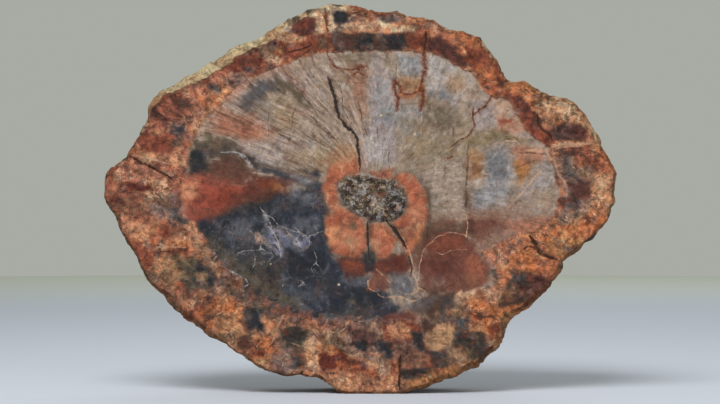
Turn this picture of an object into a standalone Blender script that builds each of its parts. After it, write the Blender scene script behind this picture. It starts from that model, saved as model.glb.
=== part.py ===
"""Petrified wood: a sawn and polished cross-section of a fossil log, standing on its bark edge.

One natural stone, so one solid. The polished face looks along -Y, Z is up and the grain of the
old trunk runs along Y. The solid is a loft through cross-sections of the trunk: each section is
the same bark outline, drawn in by the broken edge of the nearer sawn face and by the ridges that
run along the bark.
"""

import math

import bmesh
import bpy
from mathutils import Vector, noise

THICKNESS = 0.045  # between the two sawn faces
PITH = Vector((0.0075, 0.0, 0.114))  # centre of the trunk, where the rays meet
COLUMNS = 240  # stations around the bark
MM = 0.001

# The bark outline at its widest, clockwise from the top as the polished face is seen, as X, Z in
# millimetres. The last leg along Z = 0 is the flat place that the slab stands on.
BARK_OUTLINE = [
    (-9, 227.5), (9, 223.5), (23, 222), (43, 216.5), (55, 212), (63, 211.5), (76, 201),
    (82, 188), (84, 183.5), (89, 181.5), (96, 182.5), (103, 177.5), (123, 171), (131, 165),
    (137, 155), (148, 134), (150, 129), (148, 108), (143, 99), (127, 81.5), (118.5, 76),
    (117, 69), (103, 53), (88, 42), (86, 36), (83, 29), (73, 18.5), (53, 8), (34, 3), (23, 0),
    (-9, 0), (-17, 4.5), (-28, 9), (-49, 11), (-63, 18), (-89, 34), (-105, 45.5), (-119, 59),
    (-135, 85), (-145, 105), (-150, 115), (-149.5, 125), (-147, 131), (-139, 137), (-127, 157),
    (-124, 169), (-117, 177), (-99, 186.5), (-77, 200), (-71, 204.5), (-59, 208), (-37, 221),
    (-19, 227),
]

# How far each section stands behind the polished face, as a share of the thickness, with the
# share of the front and of the back edge's drawing-in that it takes.
SECTIONS = [
    (0.00, 1.00, 0.0), (0.04, 0.60, 0.0), (0.11, 0.25, 0.0), (0.22, 0.00, 0.0), (0.40, 0.00, 0.0),
    (0.60, 0.00, 0.0), (0.78, 0.00, 0.0), (0.90, 0.00, 0.1), (0.97, 0.00, 0.4), (1.00, 0.00, 1.0),
]

EDGE_BREAK = 1.6 * MM  # both sawn edges, all round
RIDGE_DEPTH = 1.5 * MM  # bark ridges, cut in from the outline
RIDGE_PITCH = 9.0 * MM  # mean distance from ridge to ridge
RIDGE_WANDER = 1.2  # how much a ridge changes from face to face, in ridge pitches

# Where the polished face's edge is broken back further: the direction from the pith in degrees
# above +X, half the width of the broken stretch in degrees, and the depth of the break.
BROKEN_EDGES = [
    (137, 34, 5.5 * MM),
    (-42, 40, 3.5 * MM),
    (22, 26, 2.0 * MM),
    (-148, 16, 3.0 * MM),
]

FOOT_HEIGHT = 7.0 * MM  # below this the bark goes over into the flat foot
STONE_COLOR = (0.225, 0.134, 0.099, 1.0)
STONE_ROUGHNESS = 0.42


def curve_point(before, start, end, after, t):
    """A point between start and end on a smooth curve that passes through all its points."""
    tension = 0.5
    leaving = (end - before) * tension
    arriving = (after - start) * tension
    return (
        start * (2 * t**3 - 3 * t**2 + 1)
        + leaving * (t**3 - 2 * t**2 + t)
        + end * (3 * t**2 - 2 * t**3)
        + arriving * (t**3 - t**2)
    )


def bark_curve(count):
    """The outline as count evenly spaced points, centred on X = 0 and standing on Z = 0."""
    corners = [Vector((x, 0.0, z)) * MM for x, z in BARK_OUTLINE]
    steps = 24
    fine = []
    for i, start in enumerate(corners):
        before, end, after = (corners[(i + k) % len(corners)] for k in (-1, 1, 2))
        fine += [curve_point(before, start, end, after, k / steps) for k in range(steps)]
    lengths = [(fine[(i + 1) % len(fine)] - p).length for i, p in enumerate(fine)]
    spacing = sum(lengths) / count
    points = []
    walked = 0.0
    for start, end, length in zip(fine, fine[1:] + fine[:1], lengths):
        while len(points) < count and len(points) * spacing <= walked + length:
            points.append(start.lerp(end, (len(points) * spacing - walked) / length))
        walked += length
    middle = (min(p.x for p in points) + max(p.x for p in points)) / 2
    return [Vector((p.x - middle, 0.0, max(p.z, 0.0))) for p in points]


def edge_break(direction):
    """How far the polished face's edge is drawn in, in one direction from the pith."""
    depth = EDGE_BREAK
    for middle, half_width, extra in BROKEN_EDGES:
        turn = (math.degrees(direction) - middle + 180) % 360 - 180
        if abs(turn) < half_width:
            depth += extra * math.cos(turn / half_width * math.pi / 2) ** 2
    return depth


def ridge_depth(point, depth):
    """How far the bark lies inside the outline: ridges along the grain that wander a little."""
    across = point / RIDGE_PITCH
    along = Vector((0.0, RIDGE_WANDER * depth / THICKNESS, 0.0))
    ridge = noise.noise(across + along) + 0.5 * noise.noise(2.3 * across + 1.7 * along)
    return RIDGE_DEPTH * min(1.0, max(0.0, 0.5 + 0.8 * ridge))


def section(outline, share, front, back):
    """One cross-section of the trunk, at its place behind the polished face."""
    depth = share * THICKNESS
    points = []
    for p in outline:
        outward = p - Vector((PITH.x, 0.0, PITH.z))
        direction = math.atan2(outward.z, outward.x)
        clear_of_foot = min(1.0, p.z / FOOT_HEIGHT)
        inset = front * edge_break(direction) + back * EDGE_BREAK
        inset += ridge_depth(p, depth) * clear_of_foot
        if 0.0 < share < 1.0:
            inset *= clear_of_foot
        moved = p - outward.normalized() * inset
        points.append(Vector((moved.x, depth - THICKNESS / 2, moved.z)))
    return points


def closed_ring(mesh, points):
    """The points as one closed loop of edges."""
    verts = [mesh.verts.new(p) for p in points]
    return [mesh.edges.new((a, b)) for a, b in zip(verts, verts[1:] + verts[:1])]


def slab_mesh():
    """The loft through all sections, closed by the two sawn faces."""
    outline = bark_curve(COLUMNS)
    mesh = bmesh.new()
    rings = [closed_ring(mesh, section(outline, *place)) for place in SECTIONS]
    for near, far in zip(rings, rings[1:]):
        bmesh.ops.bridge_loops(mesh, edges=near + far)
    for sawn in (rings[0], rings[-1]):
        bmesh.ops.contextual_create(mesh, geom=sawn)
    bmesh.ops.recalc_face_normals(mesh, faces=mesh.faces)
    data = bpy.data.meshes.new("petrified_wood_slab")
    mesh.to_mesh(data)
    mesh.free()
    return data


def stone_material():
    material = bpy.data.materials.new("petrified_wood")
    material.use_nodes = True
    shader = material.node_tree.nodes["Principled BSDF"]
    shader.inputs["Base Color"].default_value = STONE_COLOR
    shader.inputs["Roughness"].default_value = STONE_ROUGHNESS
    shader.inputs["Metallic"].default_value = 0.0
    material.diffuse_color = STONE_COLOR
    return material


def main():
    for old in list(bpy.data.objects):
        bpy.data.objects.remove(old, do_unlink=True)
    part = bpy.data.collections.new("petrified_wood")
    bpy.context.scene.collection.children.link(part)
    slab = bpy.data.objects.new("petrified_wood_slab", slab_mesh())
    slab.data.materials.append(stone_material())
    slab.data.shade_smooth()
    slab.data.set_sharp_from_angle(angle=math.radians(35))
    part.objects.link(slab)


main()
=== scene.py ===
"""Petrified wood slab: the looks of the stone, a floor, lights and a camera.

The stone is one closed mesh that follows the CAD solid. Its polished face is painted point by point
with the stains, veins and cracks listed below, its edge carries the bark's relief, and its back is a
plain saw cut. Places on the slab are in millimetres: X to the right and Z up from the foot, as the
polished face is seen, and depth from the polished face to the back. The lists of stains and lines
give the X and Z of each point in turn.
"""

import math

import bpy
import numpy as np
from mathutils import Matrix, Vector
from mathutils.bvhtree import BVHTree
from mathutils.geometry import delaunay_2d_cdt


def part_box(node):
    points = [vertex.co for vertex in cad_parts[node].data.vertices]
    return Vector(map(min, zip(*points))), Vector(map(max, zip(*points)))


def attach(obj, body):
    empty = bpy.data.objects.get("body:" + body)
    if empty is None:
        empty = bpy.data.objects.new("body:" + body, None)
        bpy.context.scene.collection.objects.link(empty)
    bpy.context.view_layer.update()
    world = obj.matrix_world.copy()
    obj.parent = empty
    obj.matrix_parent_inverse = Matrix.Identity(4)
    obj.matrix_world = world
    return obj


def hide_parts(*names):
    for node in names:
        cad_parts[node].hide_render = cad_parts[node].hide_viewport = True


NODE = "petrified_wood_slab"
STONE = "petrified_wood_stone"
MM = 0.001
PITH = (7.5, 114.0)  # where the rays meet

FACE_GRID = 1.08  # distance between points on the polished face
BACK_GRID = 1.9
COLUMNS = 880  # stations round the edge
EDGE_ROWS = 36  # stations from face to face
EDGE_GAP = 0.75  # nearest that a point inside a face comes to its outline, as a share of the grid
LINE_GAP = 0.55  # the same for a vein or crack
JITTER = 0.16  # how far a point may stray from the grid, as a share of it
LINE_STEP = 0.9  # distance between points on a vein or crack
LINE_END_GAP = 0.6  # veins and cracks stop this far inside the outline
LINE_WOBBLE = 0.35
FAR = 9.0  # a distance at which a line or a bright grain doesn't show any more
RAY_LENGTHS = (26, 26, 0.035)  # how far the rays' noise is drawn out, round the pith and along them
GAMMA = 1.13
BUMP_HEIGHT = 0.0018

FLOOR_RADIUS = 2.1
FLOOR_COLOR = (0.48, 0.515, 0.60)
# the floor is painted paler towards its rim, as painted light where the lamps reach less, so that it meets
# the wall
FLOOR_RIM = (0.62, 0.65, 0.58)
WALL_COLOR = (0.39, 0.41, 0.37)
# Lamps: place, size, power, spread in degrees and colour.
LAMPS = {
    "fill": ((1.1, -1.1, 0.25), (0.9, 0.5), 0.7, 60, (1.0, 0.97, 0.93)),
    "overhead": ((-0.32, -1.0, 1.35), (0.9, 0.7), 6.2, 80, (1.0, 0.98, 0.94)),
    "back": ((0.4, 1.6, 1.4), (1.4, 1.0), 8.0, 180, (0.97, 0.98, 1.0)),
}
LAMP_AIM = Vector((0, 0, 0.11))
SENSOR_WIDTH = 36.0
CAMERA_AWAY = 1.3
CAMERA_HEIGHT = 0.1116
VIEW_WIDTH = 0.4186  # how much the frame takes in, at the polished face

# Stone colours, as sRGB in 0-255.
COLORS = {
    "ivory": (206, 188, 160), "cream": (192, 156, 128), "peach": (188, 136, 106),
    "salmon": (168, 114, 92), "terracotta": (154, 92, 68), "brick": (132, 70, 50),
    "orange": (184, 112, 70), "ochre": (158, 110, 66), "rust": (118, 60, 36),
    "blood": (98, 40, 24), "maroon": (88, 48, 40), "umber": (74, 52, 42),
    "soot": (42, 32, 28), "mauve": (126, 104, 98), "lilac": (148, 137, 137),
    "blue_grey": (136, 136, 140), "warm_grey": (144, 125, 112), "beige": (150, 134, 120),
    "olive": (130, 112, 86), "moss": (88, 78, 64), "slate": (90, 91, 97), "navy": (42, 46, 59),
    "ink": (34, 37, 44), "charcoal": (64, 62, 64), "tan": (165, 130, 100),
    "ring": (162, 101, 77), "ring_red": (154, 86, 66), "disc": (108, 66, 55), "wedge": (146, 74, 58),
    "straw": (154, 132, 102), "brown": (116, 80, 64), "frost": (170, 164, 164),
    "crystal": (108, 111, 134), "bone": (180, 162, 148), "apricot": (204, 148, 106),
    "sepia": (66, 40, 30), "dusk": (134, 104, 90), "rose": (154, 98, 84), "painted_light_cream": (186, 170, 138),
}

# The inner edge of the rim, clockwise from the upper left.
HEARTWOOD = (
    -97,148, -91,160, -84,168, -76,175, -64,184, -48,190, -38,195, -26,198, -10,199, 10,199.5, 38,199,
    46,197, 57,191, 65,187, 69,181, 76,174, 84,172, 90,164, 96,156, 102,148, 109,143, 111,134, 114,124,
    117,114, 114,104, 104,98, 92,92, 80,86, 72,82, 76,74, 76,66, 68,61, 58,58, 54,50, 48,44, 34,43, 20,44,
    6,43, -8,44, -25,45, -40,48, -52,52, -60,57, -68,63, -76,70, -84,79, -90,89, -94,99, -103,105,
    -105,116, -103,124, -101,134, -101,142,
)

# The dark blue part of the heartwood.
NIGHT = (
    -97,100, -80,103, -72,108, -58,112, -40,117, -22,122, -19,112, -18,92, -16,80, -2,68, 8,66, 20,52,
    28,44, 12,37, -20,39, -46,42, -64,50, -75,58, -86,69, -95,82,
)

# A smooth tan inclusion low in the rim.
OVAL = (
    37,31, 41,37, 48,41, 54,40.5, 56,34, 54,27, 47,25, 41,26,
)

# The open, rough pocket at the pith.
PITH_POCKET = (
    -12,123, -5,127, 4,128, 11,125, 20,124, 25,120, 27,112, 25,105, 20,101, 12,100.5, 3,102, -3,105,
    -7,108, -11,112, -13,118,
)

# The three lobes of the salmon ring round the pith.
RING_LOBES = (
    (-16,133, -10,136, -4,140, -1,136, -1,127, -10,126, -13,118, -12,110, -6,106, 2,103, 4,98, 4,86, 1,81,
     -6,79.5, -13,82, -18,87, -20,95, -20,102, -17,107, -21,112, -21,120, -19,127),
    (5.5,98, 8,100, 14,100, 19,96, 21,90, 19,83, 15,79, 11,79, 8,83, 6,88),
    (20,124, 23,128, 29,128, 35,123, 39,115, 40,107, 38,98, 35,92, 32,85, 28,80, 25,84, 22,90, 20,96,
     19,101, 25,104, 28,112, 25,120),
)

# Stains, each laid over the ones before it: colour, strength, softness of the edge and corners.
RIM_STAINS = [
    # a broad rose ground at the upper left
    ("rose", 0.7, 8, -150,112, -140,132, -124,170, -98,188, -70,204, -60,192, -92,172, -100,150, -106,124,
     -112,104),
    # broad brown and grey ground along the bottom, and an ochre outer edge
    ("brown", 0.75, 8, -92,66, -78,36, -52,18, -20,16, 0,20, 20,16, 60,20, 80,34, 62,54, 40,46, 10,40,
     -40,46, -70,60),
    ("mauve", 0.5, 6, -70,58, -60,34, -46,24, -28,24, -30,40, -48,48),
    ("mauve", 0.5, 6, -12,40, -10,20, 10,16, 36,18, 38,34, 12,40),
    ("tan", 0.6, 3, -52,14, -28,12, -8,9, 20,8, 36,9, 36,2, 20,-2, -12,-2, -30,6, -52,8),
    ("ochre", 0.7, 2.5, 24,9, 56,16, 78,26, 84,40, 92,50, 106,60, 110,56, 90,36, 70,12, 30,0),
    # broad warm patches on the right
    ("orange", 0.75, 6.8, 112,165, 140,160, 150,128, 146,106, 126,82, 112,92, 122,120),
    ("orange", 0.85, 6.8, 84,90, 112,98, 128,84, 104,56, 82,48, 80,70),
    ("orange", 0.7, 5.1, 52,206, 80,200, 90,182, 128,172, 112,158, 80,176, 58,192),
    # left
    ("apricot", 0.85, 1.5, -99,150, -95,151, -88,161, -80,169, -74,177, -78,180, -88,171, -96,161),
    ("salmon", 0.85, 3.4, -104,172, -92,176, -86,166, -92,152, -102,156),
    ("brick", 0.43, 2.5, -121,172, -104,176, -98,168, -102,160, -116,160),
    ("umber", 0.85, 1.3, -110,173, -102,172, -99,167, -104,166, -109,169),
    ("maroon", 0.98, 1.7, -124,169, -119,167, -113,161, -109,158, -118,160, -125,161),
    ("slate", 0.67, 2.5, -110,159, -103,158, -101,152, -106,149, -111,153),
    ("ink", 0.73, 1.7, -108,155, -103,155, -104,151, -107,150),
    ("brick", 0.98, 1.7, -127,151, -112,151, -108,145, -111,141, -128,142),
    ("moss", 0.73, 1.7, -112,148, -104,149, -104,143, -111,144),
    ("peach", 1, 1.3, -133,140, -112,138, -104,140, -101,136, -101,131, -110,134, -124,136),
    ("salmon", 0.98, 2.5, -136,136, -120,133, -110,126, -116,120, -134,124),
    ("blood", 0.98, 1.3, -139,122, -128,123, -118,121, -121,118, -134,119),
    ("cream", 1, 1.7, -121,125, -113,125, -112,120, -119,119),
    ("cream", 0.98, 2.1, -124,117, -111,118, -110,112, -122,112),
    ("brown", 0.73, 2.5, -146,118, -130,116, -112,110, -114,103, -136,104, -147,110),
    ("blood", 0.73, 1, -146,115, -139,115, -140,111, -146,112),
    ("mauve", 0.98, 2.5, -124,111, -107,116, -103,108, -106,99, -120,103),
    ("slate", 0.73, 2.1, -113,110, -104,108, -104,101, -112,103),
    ("charcoal", 0.85, 1.7, -106,103, -99,103, -98,96, -106,97),
    ("peach", 0.98, 2.5, -136,101, -118,100, -116,91, -130,88, -138,94),
    ("terracotta", 1, 1.7, -122,100, -113,101, -111,90, -119,88, -123,93),
    ("blood", 0.61, 1.3, -115,99, -111,98, -111,90, -114,91),
    ("brown", 0.85, 2.5, -111,98, -100,98, -99,91, -110,91),
    ("orange", 0.98, 1.3, -121,89, -101,90, -99,86, -120,85),
    ("blood", 0.61, 1.3, -121,84, -104,84, -105,80, -120,81),
    ("brick", 0.73, 2.5, -132,86, -120,84, -118,72, -128,74),
    ("olive", 0.61, 2.5, -114,82, -104,82, -104,72, -113,72),
    ("peach", 1, 2.1, -102,99, -93,98, -90,89, -82,80, -87,76, -97,84, -103,91),
    ("brown", 0.49, 2.5, -92,86, -82,80, -77,71, -84,70, -92,78),
    ("moss", 1, 2.5, -107,78, -96,80, -86,74, -82,64, -89,60, -99,61, -107,67),
    ("ink", 0.85, 1.7, -103,74, -93,76, -85,70, -83,64, -90,62, -97,66, -103,70),
    ("straw", 1, 1, -96,69, -93,71, -89,70, -88,67, -91,65, -95,66),
    ("brown", 0.85, 2.5, -122,70, -110,70, -106,62, -114,60),
    ("salmon", 0.85, 2.1, -110,60, -103,58, -96,54, -98,50, -108,53),
    ("mauve", 0.61, 2.1, -98,60, -86,60, -84,53, -96,53),
    ("orange", 0.85, 2.1, -96,49, -84,51, -76,55, -68,51, -66,44, -76,40, -88,38),
    ("umber", 0.85, 1.3, -92,45, -84,47, -76,44, -84,42, -91,42),
    ("cream", 0.73, 1.7, -84,62, -78,60, -76,55, -82,56),
    ("ink", 1, 2.1, -67,50, -57,50, -51,44, -55,36, -64,37, -68,43),
    ("mauve", 0.61, 1.7, -70,48, -63,47, -62,42, -69,42),
    ("brown", 0.98, 2.5, -84,37, -72,39, -60,35, -62,27, -74,27),
    ("soot", 0.98, 0.8, -86,35, -80,34, -75,31, -81,31),
    ("maroon", 0.85, 1, -70,31, -65,32, -66,28, -71,28),
    ("orange", 0.85, 1.7, -62,33, -52,33, -49,24, -54,18, -62,20),
    ("straw", 0.73, 1.7, -61,21, -54,20, -54,15, -60,16),
    ("blood", 0.98, 1, -61,25, -54,25, -56,21, -61,22),
    ("peach", 0.85, 1.7, -58,46, -50,47, -42,44, -46,36, -50,30, -55,36),
    # bottom
    ("moss", 0.92, 2.1, -47,38, -28,38, -24,32, -28,24, -45,24),
    ("charcoal", 0.73, 2.5, -46,36, -36,36, -34,30, -45,30),
    ("mauve", 1, 2.5, -54,23, -38,24, -36,13, -50,13),
    ("charcoal", 0.85, 1.7, -41,23, -34,22, -34,15, -40,16),
    ("cream", 1, 2.1, -32,31, -22,32, -22,13, -32,13),
    ("salmon", 1, 2.5, -28,44, -14,46, -4,42, -10,38, -16,34, -26,35),
    ("olive", 0.73, 2.1, -23,36, -10,36, -8,23, -20,23),
    ("cream", 0.73, 1.7, -22,37, -12,37, -12,34, -20,33),
    ("blood", 1, 1.5, -24,24, -12,26, -8,21, 0,19, 4,13, -8,11, -22,12),
    ("mauve", 0.73, 2.5, -10,40, 10,40, 12,26, 2,20, -8,24),
    ("maroon", 0.61, 2.5, -6,38, 8,37, 9,28, -4,28),
    ("ink", 1, 1.5, -3,31, 4,31, 4,24, -2,25),
    ("ink", 1, 1.7, 9,31, 18,29, 18,21, 13,18, 10,22),
    ("beige", 0.73, 1.7, 0,24, 10,19, 18,19, 16,11, 4,13),
    ("brick", 0.73, 1.3, -8,16, 10,15, 8,11, -6,11),
    ("peach", 0.73, 2.1, -24,12, -10,14, 0,10, 22,9, 22,3, 0,0, -20,8),
    ("terracotta", 0.98, 1.7, 16,19, 23,19, 23,11, 17,10),
    ("charcoal", 1, 1.5, 25,14, 38,16, 41,12, 31,8, 25,8),
    ("brown", 0.73, 2.5, 24,31, 38,30, 40,17, 27,17),
    ("brick", 0.98, 2.5, 13,42, 24,47, 34,42, 34,34, 24,28, 14,32),
    ("peach", 1, 1.7, 17,41, 26,41, 29,34, 22,32, 18,34),
    ("ink", 0.92, 1.7, 30,36, 37,36, 39,30, 37,25, 32,27),
    ("umber", 0.85, 2.5, 34,46, 52,46, 50,40, 38,38),
    ("tan", 1, 1, *OVAL),
    ("charcoal", 1, 1.7, 40,25, 53,25, 53,16, 43,15),
    ("moss", 0.98, 2.5, 54,35, 70,35, 77,28, 78,20, 66,18, 54,20),
    ("ink", 0.85, 2.1, 56,34, 70,34, 74,26, 70,20, 66,26, 57,28),
    ("mauve", 0.73, 1.7, 50,26, 61,26, 61,18, 52,17),
    ("slate", 0.98, 1.7, 55,44, 64,45, 64,38, 57,36),
    ("peach", 0.98, 1.5, 62,41, 72,42, 74,36, 63,36),
    ("ivory", 0.98, 0.7, 74,32, 77,30, 78,26, 76,25, 74,29),
    ("ochre", 0.98, 1.3, 36,12, 56,16, 74,19, 74,16, 56,12, 40,7),
    # lower right
    ("cream", 1, 1.7, 54,61, 68,62, 66,53, 57,51),
    ("olive", 0.73, 1.7, 54,53, 62,52, 62,44, 54,44),
    ("orange", 1, 2.1, 62,57, 72,54, 80,50, 86,44, 85,37, 77,33, 70,39, 64,45),
    ("blood", 0.73, 1, 66,46, 76,46, 79,43, 68,43),
    ("blood", 0.85, 1, 73,39, 80,41, 82,37, 76,33),
    ("umber", 1, 1.5, 80,58, 96,59, 101,55, 92,51, 80,50),
    ("orange", 1, 1, 83,49.5, 96,52.5, 103,55, 100,50, 88,43, 84,44),
    ("beige", 0.61, 1.7, 72,61, 82,61, 84,54, 74,53),
    ("mauve", 0.73, 2.1, 78,63, 95,63, 95,57, 78,58),
    ("maroon", 1, 1.7, 94,71, 110,69, 112,64, 106,60, 98,56, 93,60),
    ("charcoal", 0.92, 2.1, 86,73, 98,72, 96,64, 86,62),
    ("slate", 0.85, 2.1, 71,74, 80,73, 81,62, 73,62),
    ("salmon", 0.98, 1.7, 79,73, 88,73, 88,66, 81,64),
    ("salmon", 0.98, 2.5, 68,91, 82,87, 93,88, 91,74, 78,75, 69,82),
    ("orange", 1, 1.7, 90,82, 96,92, 102,91, 107,82, 116,79, 114,74, 96,73, 88,76),
    ("slate", 0.73, 1.3, 90,91, 95,90, 95,85, 91,85),
    ("peach", 0.85, 1.7, 99,93, 106,92, 110,85, 104,85),
    ("peach", 0.73, 1.7, 88,93, 100,96, 114,100, 112,94, 96,91),
    ("ochre", 0.85, 2.5, 106,90, 122,95, 134,90, 128,82, 112,79),
    ("orange", 0.73, 2.5, 112,100, 126,104, 140,110, 146,100, 136,91, 118,93),
    ("umber", 0.73, 1.7, 120,84, 132,88, 140,94, 136,86, 126,80),
    ("terracotta", 0.73, 1.7, 103,79, 116,79, 118,72, 110,66, 102,70),
    # right
    ("mauve", 1, 2.5, 112,141, 123,142, 127,134, 136,129, 137,116, 132,104, 118,100, 113,106, 117,116,
     114,126),
    ("slate", 0.73, 2.5, 114,139, 121,139, 124,127, 118,126),
    ("ink", 0.43, 2.5, 118,112, 128,114, 128,106, 120,104),
    ("maroon", 0.85, 1.7, 120,122, 134,123, 137,114, 124,112),
    ("brick", 0.73, 1.7, 113,114, 120,113, 118,104, 114,104),
    ("olive", 0.61, 2.1, 120,131, 136,131, 136,125, 122,124),
    ("terracotta", 1, 2.1, 121,146, 135,147, 138,138, 134,133, 124,133),
    ("peach", 0.92, 2.1, 137,128, 148,130, 149,118, 146,104, 138,105, 134,114),
    ("brick", 0.73, 1.7, 130,138, 146,133, 144,127, 134,130),
    ("soot", 0.85, 0.8, 143,123, 147,122, 147,119, 143,120),
    ("ivory", 0.98, 1.3, 139,125, 143,122, 142,117, 138,120),
    ("ivory", 0.55, 3.4, 106,172, 124,172, 136,163, 139,154, 130,158, 112,160),
    ("peach", 1, 2.5, 106,171, 124,171, 136,162, 139,154, 130,158, 110,160),
    ("olive", 0.61, 1.7, 104,160, 116,160, 114,156, 105,156),
    ("maroon", 1, 1.5, 107,153, 113,156, 120,158.5, 128,158, 138,152, 130,148.5, 112,147),
    ("slate", 0.43, 1.7, 112,152, 130,152, 126,148, 114,148),
    ("salmon", 0.85, 1.3, 118,147, 138,149, 137,146, 118,145),
    ("brick", 1, 2.1, 83,176, 94,173, 101,164, 108,155, 112,146, 104,143, 98,153, 90,163),
    ("maroon", 0.61, 1.7, 88,172, 97,171, 100,164, 94,164),
    ("orange", 1, 1.7, 82,183, 98,183.5, 109,174, 104,168, 92,175),
    ("ochre", 0.73, 2.1, 92,183, 102,180, 106,174, 98,176),
    ("umber", 0.73, 1, 103,174, 111,174, 112,171, 104,171),
    ("umber", 0.61, 1.7, 100,163, 105,160, 104,154, 100,156),
    # upper right
    ("maroon", 0.98, 2.1, 40,210, 50,207, 60,198, 68,190, 58,190, 46,196, 38,199),
    ("orange", 1, 2.1, 50,212, 66,209, 73,203, 64,203, 54,205),
    ("brick", 0.73, 2.5, 60,204, 76,202, 82,190, 84,182, 78,178, 70,180, 65,190),
    ("rust", 0.73, 1.7, 62,202, 72,200, 70,192, 62,194),
    ("rust", 0.73, 1.7, 75,196, 81,190, 84,181, 80,181, 76,188),
    ("orange", 0.61, 2.1, 66,190, 78,190, 80,180, 70,181),
    # top
    ("ivory", 1, 1.7, -58,209, -46,216, -36,221, -22,227, -6,228, -6,223, -24,221, -38,213, -46,208),
    ("cream", 0.98, 1.7, -50,211, -40,209, -30,206, -26,211, -24,222, -14,222, -14,210, -36,204, -50,206),
    ("maroon", 1, 1.5, -41,216, -34,219.5, -26,218, -26,211, -35,208, -41,211),
    ("slate", 0.49, 1.3, -46,214, -40,213, -40,210, -46,211),
    ("brick", 0.73, 1, -36,218, -30,219, -31,214, -36,213),
    ("ivory", 0.73, 1.3, -26,221, -22,221, -22,211, -26,211),
    ("ivory", 0.73, 1, -18,222, -15,222, -14,211, -18,212),
    ("ink", 1, 1.3, -14,224, -9,223, -6,218, -8,213, -12,212.5, -15,218),
    ("mauve", 0.98, 1.3, -7,220, 2,219, 2,217, -7,216),
    ("peach", 1, 1.7, -7,226, 6,224, 10,219, 2,219, -5,221),
    ("terracotta", 0.85, 1.3, -6,224, 0,225, 8,221, 2,220),
    ("cream", 1, 1.7, -12,213, -2,217, 10,217, 9,211, -12,210.5),
    ("mauve", 1, 1.3, 11,219, 20,221, 31,218, 24,215, 12,216),
    ("charcoal", 0.67, 1.3, 13,219, 22,218, 22,216, 13,217),
    ("ivory", 0.98, 1, 11,216, 20,215.5, 33,213, 31,210.5, 12,211),
    ("peach", 1, 1.7, 24,223, 44,218, 50,211, 42,208, 36,213, 28,218),
    ("terracotta", 0.98, 1.7, 30,217, 42,216, 40,209, 35,210),
    ("umber", 1, 1, -18,209.5, -2,210.5, 8,210, 16,210.5, 30,209, 36,205, 34,200.5, 20,199.5, 0,199,
     -14,199.5, -19,203),
    ("ink", 0.92, 1.7, -2,209, 7,209, 6,201, -1,202),
    ("ink", 0.98, 1.7, 14,209, 25,208, 24,201, 14,202),
    ("mauve", 0.85, 1, 8,212, 13,212, 11,206, 9,205),
    ("maroon", 0.73, 1.7, -16,208, -4,209, -4,201, -14,202),
    ("rust", 1, 1.7, 27,208, 39,210, 39,200, 29,201),
    ("brick", 1, 1.5, -43,203, -34,206, -24,210, -16,209, -17,199, -30,198.5, -39,193, -44,197),
    ("rust", 0.73, 1.7, -34,205, -26,207, -24,200, -34,200),
    ("moss", 0.73, 1.3, -25,207, -19,208, -19,200, -24,201),
    ("rust", 1, 1, -57,204, -50,206.5, -44,204, -41,198, -50,196, -53,200),
    ("ochre", 0.73, 1.7, -52,202, -44,203, -44,198, -50,197),
    # side band at the upper left; its pale ivory strokes are partly painted light from above
    ("ivory", 1, 1.3, -86,196, -72,205, -58,210, -54,204, -66,202, -80,195),
    ("olive", 0.85, 1.3, -96,190, -78,199, -66,202, -66,199, -80,193, -94,186),
    ("ivory", 0.73, 1.3, -118,179, -96,190, -84,196, -84,192, -98,185, -114,177),
    ("cream", 1, 1, -62,203, -56,203, -50,196, -46,195, -48,191, -54,192, -60,199),
    ("brick", 0.85, 2.1, -84,193, -68,197, -58,198, -56,191, -68,188, -82,187),
    ("blood", 0.61, 1.3, -78,195, -68,195, -68,190, -76,190),
    ("blood", 0.61, 1.3, -64,196, -58,197, -58,192, -63,192),
    ("salmon", 0.73, 2.1, -100,186, -86,188, -80,182, -92,178),
    ("maroon", 0.61, 1.7, -96,184, -88,186, -84,180, -96,179),
    ("charcoal", 0.85, 1.3, -88,180, -82,180, -82,176, -87,176),
    ("blue_grey", 0.55, 1, -86,177, -82,177, -82,175, -86,175),
    ("mauve", 0.85, 2.1, -76,186, -64,186, -62,178, -70,174, -78,180),
    ("charcoal", 0.73, 1.5, -67,190, -60,190, -60,185, -66,186),
    ("orange", 0.85, 1.3, -96,174, -88,170, -86,176, -84,172, -80,174, -80,168, -86,164, -92,167),
    ("peach", 1, 1, -98,152, -95,149, -91,155, -88,163, -83,168, -87,170, -92,162, -97,158),
    ("cream", 0.85, 2.5, 104,169, 118,171, 130,163, 139,150, 134,151, 126,161, 112,165),
    ("ivory", 0.6, 1.5, 124,164, 132,160, 138,150, 134,152, 128,159),
    ("ochre", 0.6, 3, 92,182, 102,180, 112,172, 106,168, 96,176),
    # flecks in the dark red patch at the bottom
    ("orange", 0.85, 1.2, -21,25, -17,28, -12,25, -15,22, -19,22),
    ("orange", 0.75, 1.2, -14,18, -8,19, 0,15.5, -6,14, -13,15),
    ("peach", 0.6, 1.0, -6,22, 0,22, 4,19, -2,19),
    ("blood", 0.8, 1.2, -24,19, -18,19, -16,15, -22,14),
    # pale and dark strokes along the bottom
    ("cream", 0.6, 1.5, -30,40, -24,39, -25,28, -29,22, -32,28),
    ("cream", 0.55, 1.5, 8,26, 14,24, 18,14, 14,8, 9,14),
    ("soot", 0.7, 1.5, -46,36, -36,38, -28,34, -36,31, -45,31),
    ("soot", 0.7, 1.2, 58,36, 68,36, 72,32, 64,31, 57,32),
    ("soot", 0.8, 1.2, 24,14, 34,15, 40,13, 32,10.5, 24,10.5),
    ("cream", 0.5, 1.2, 74,34, 78,31, 77,27, 73,29),
    ("mauve", 0.7, 1.5, -52,22, -42,24, -38,17, -48,15),
    ("tan", 0.7, 2.5, -88,50, -76,48, -66,34, -72,26, -84,34),
    ("maroon", 0.7, 1.5, -72,33, -66,34, -62,28, -70,27),
    # along the pale vein at the right
    ("cream", 0.7, 1.0, 110,144, 118,147, 132,147.5, 138,147, 130,144.5, 118,144),
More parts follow.
